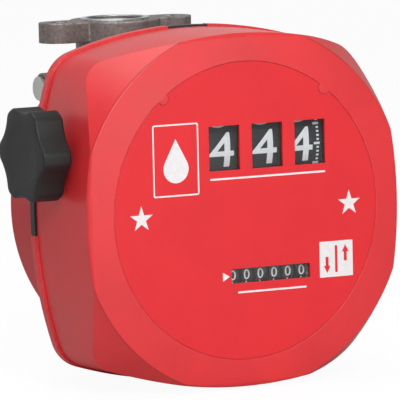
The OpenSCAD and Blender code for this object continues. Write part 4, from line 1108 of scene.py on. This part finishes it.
def build_floor(scene):
    """A pale floor that looks white to the camera."""
    half = FLOOR_HALF
    level = cad_box[0].z - FLOOR_GAP
    mesh = bpy.data.meshes.new("studio_floor")
    mesh.from_pydata([(-half, -half, level), (half, -half, level), (half, half, level),
                      (-half, half, level)], [], [(0, 1, 2, 3)])
    material = bpy.data.materials.new("floor_white")
    material.use_nodes = True
    tree = material.node_tree
    shader = tree.nodes["Principled BSDF"]
    feed(tree, shader.inputs, {"Base Color": (0.70, 0.70, 0.70, 1.0), "Roughness": 0.7})
    path = node(tree, "LightPath")
    white = node(tree, "Emission", {"Color": (1.0, 1.0, 1.0, 1.0), "Strength": FLOOR_GLOW})
    seen = product(tree, path.outputs["Is Camera Ray"], FLOOR_SHARE)
    mix_surfaces(tree, seen, shader, white)
    mesh.materials.append(material)
    floor = bpy.data.objects.new("studio_floor", mesh)
    scene.collection.objects.link(floor)


def build_sky(scene):
    """A white sky, dimmer as a lamp than as a backdrop."""
    sky = bpy.data.worlds.new("studio_sky")
    scene.world = sky
    sky.use_nodes = True
    tree = sky.node_tree
    background = tree.nodes["Background"]
    background.inputs["Color"].default_value = (1.0, 1.0, 1.0, 1.0)
    path = node(tree, "LightPath")
    direct = math_node(tree, "MAXIMUM", path.outputs["Is Camera Ray"],
                       path.outputs["Is Transmission Ray"])
    way = node(tree, "SeparateXYZ", {0: node(tree, "TexCoord").outputs["Generated"]})
    ceiling = remap(tree, way.outputs["Z"], *FADE_UP)
    right = remap(tree, way.outputs["X"], *FADE_RIGHT)
    mirrored = product(tree, path.outputs["Is Glossy Ray"], product(tree, ceiling, right))
    shown = math_node(tree, "MAXIMUM", direct, mirrored)
    tree.links.new(remap(tree, shown, 0.0, 1.0, AMBIENT, 1.0), background.inputs["Strength"])


def build_lamps(scene):
    """Round area lamps that face the meter."""
    for name, spot, size, strength in LAMPS:
        lamp = bpy.data.lights.new(name, "AREA")
        lamp.shape = "DISK"
        lamp.size = size
        lamp.energy = strength
        holder = bpy.data.objects.new(name, lamp)
        holder.location = spot
        holder.rotation_euler = (LAMP_AIM - Vector(spot)).to_track_quat("-Z", "Y").to_euler()
        scene.collection.objects.link(holder)


def build_camera(scene):
    """The photograph's camera, set from its angles and distance."""
    azimuth, elevation, roll = (
        math.radians(a) for a in (CAMERA_AZIMUTH, CAMERA_ELEVATION, CAMERA_ROLL))
    target = world(CAMERA_AIM[0], COVER_FRONT, DIAL_UP + CAMERA_AIM[1])
    back = Vector((-math.sin(azimuth) * math.cos(elevation),
                   -math.cos(azimuth) * math.cos(elevation), math.sin(elevation)))
    right = (-back).cross(Vector((0, 0, 1))).normalized()
    up = right.cross(-back)
    turned_right = math.cos(roll) * right + math.sin(roll) * up
    turned_up = math.cos(roll) * up - math.sin(roll) * right
    data = bpy.data.cameras.new("photo_camera")
    data.sensor_width = 36.0
    data.lens = CAMERA_LENS
    data.clip_start, data.clip_end = 0.1, 20.0
    camera = bpy.data.objects.new("photo_camera", data)
    turn = Matrix((turned_right, turned_up, back)).transposed()
    camera.matrix_world = Matrix.Translation(target + back * CAMERA_DISTANCE) @ turn.to_4x4()
    scene.collection.objects.link(camera)
    scene.camera = camera


OPERATORS = (
    METER_OT_effects, METER_OT_cover, METER_OT_dial, METER_OT_pane, METER_OT_number_wheels,
    METER_OT_totaliser, METER_OT_knob, METER_OT_casting, METER_OT_fittings, METER_OT_works,
    METER_OT_stage,
)


class METER_PT_looks(bpy.types.Panel):
    """Lists the steps that dress the meter, and their settings"""

    bl_idname = "METER_PT_looks"
    bl_label = "Meter looks"
    bl_space_type = "VIEW_3D"
    bl_region_type = "UI"
    bl_category = "Meter"

    def draw(self, context):
        layout = self.layout
        for operator in OPERATORS:
            layout.operator(operator.bl_idname)
        for settings in (context.scene.meter_sizes, context.scene.meter_colours):
            column = layout.column(align=True)
            for name in settings.__annotations__:
                column.prop(settings, name)


CLASSES = (MeterSizes, MeterColours, *OPERATORS, METER_PT_looks)


def register():
    for cls in CLASSES:
        bpy.utils.register_class(cls)
    bpy.types.Scene.meter_sizes = PointerProperty(type=MeterSizes)
    bpy.types.Scene.meter_colours = PointerProperty(type=MeterColours)


def unregister():
    del bpy.types.Scene.meter_colours
    del bpy.types.Scene.meter_sizes
    for cls in reversed(CLASSES):
        bpy.utils.unregister_class(cls)


def main():
    register()
    for operator in OPERATORS:
        getattr(bpy.ops.meter, operator.bl_idname.split(".")[1])()
    for name in frame["nodes"]:
        smooth_by_angle(name)


if __name__ == "__main__":
    main()
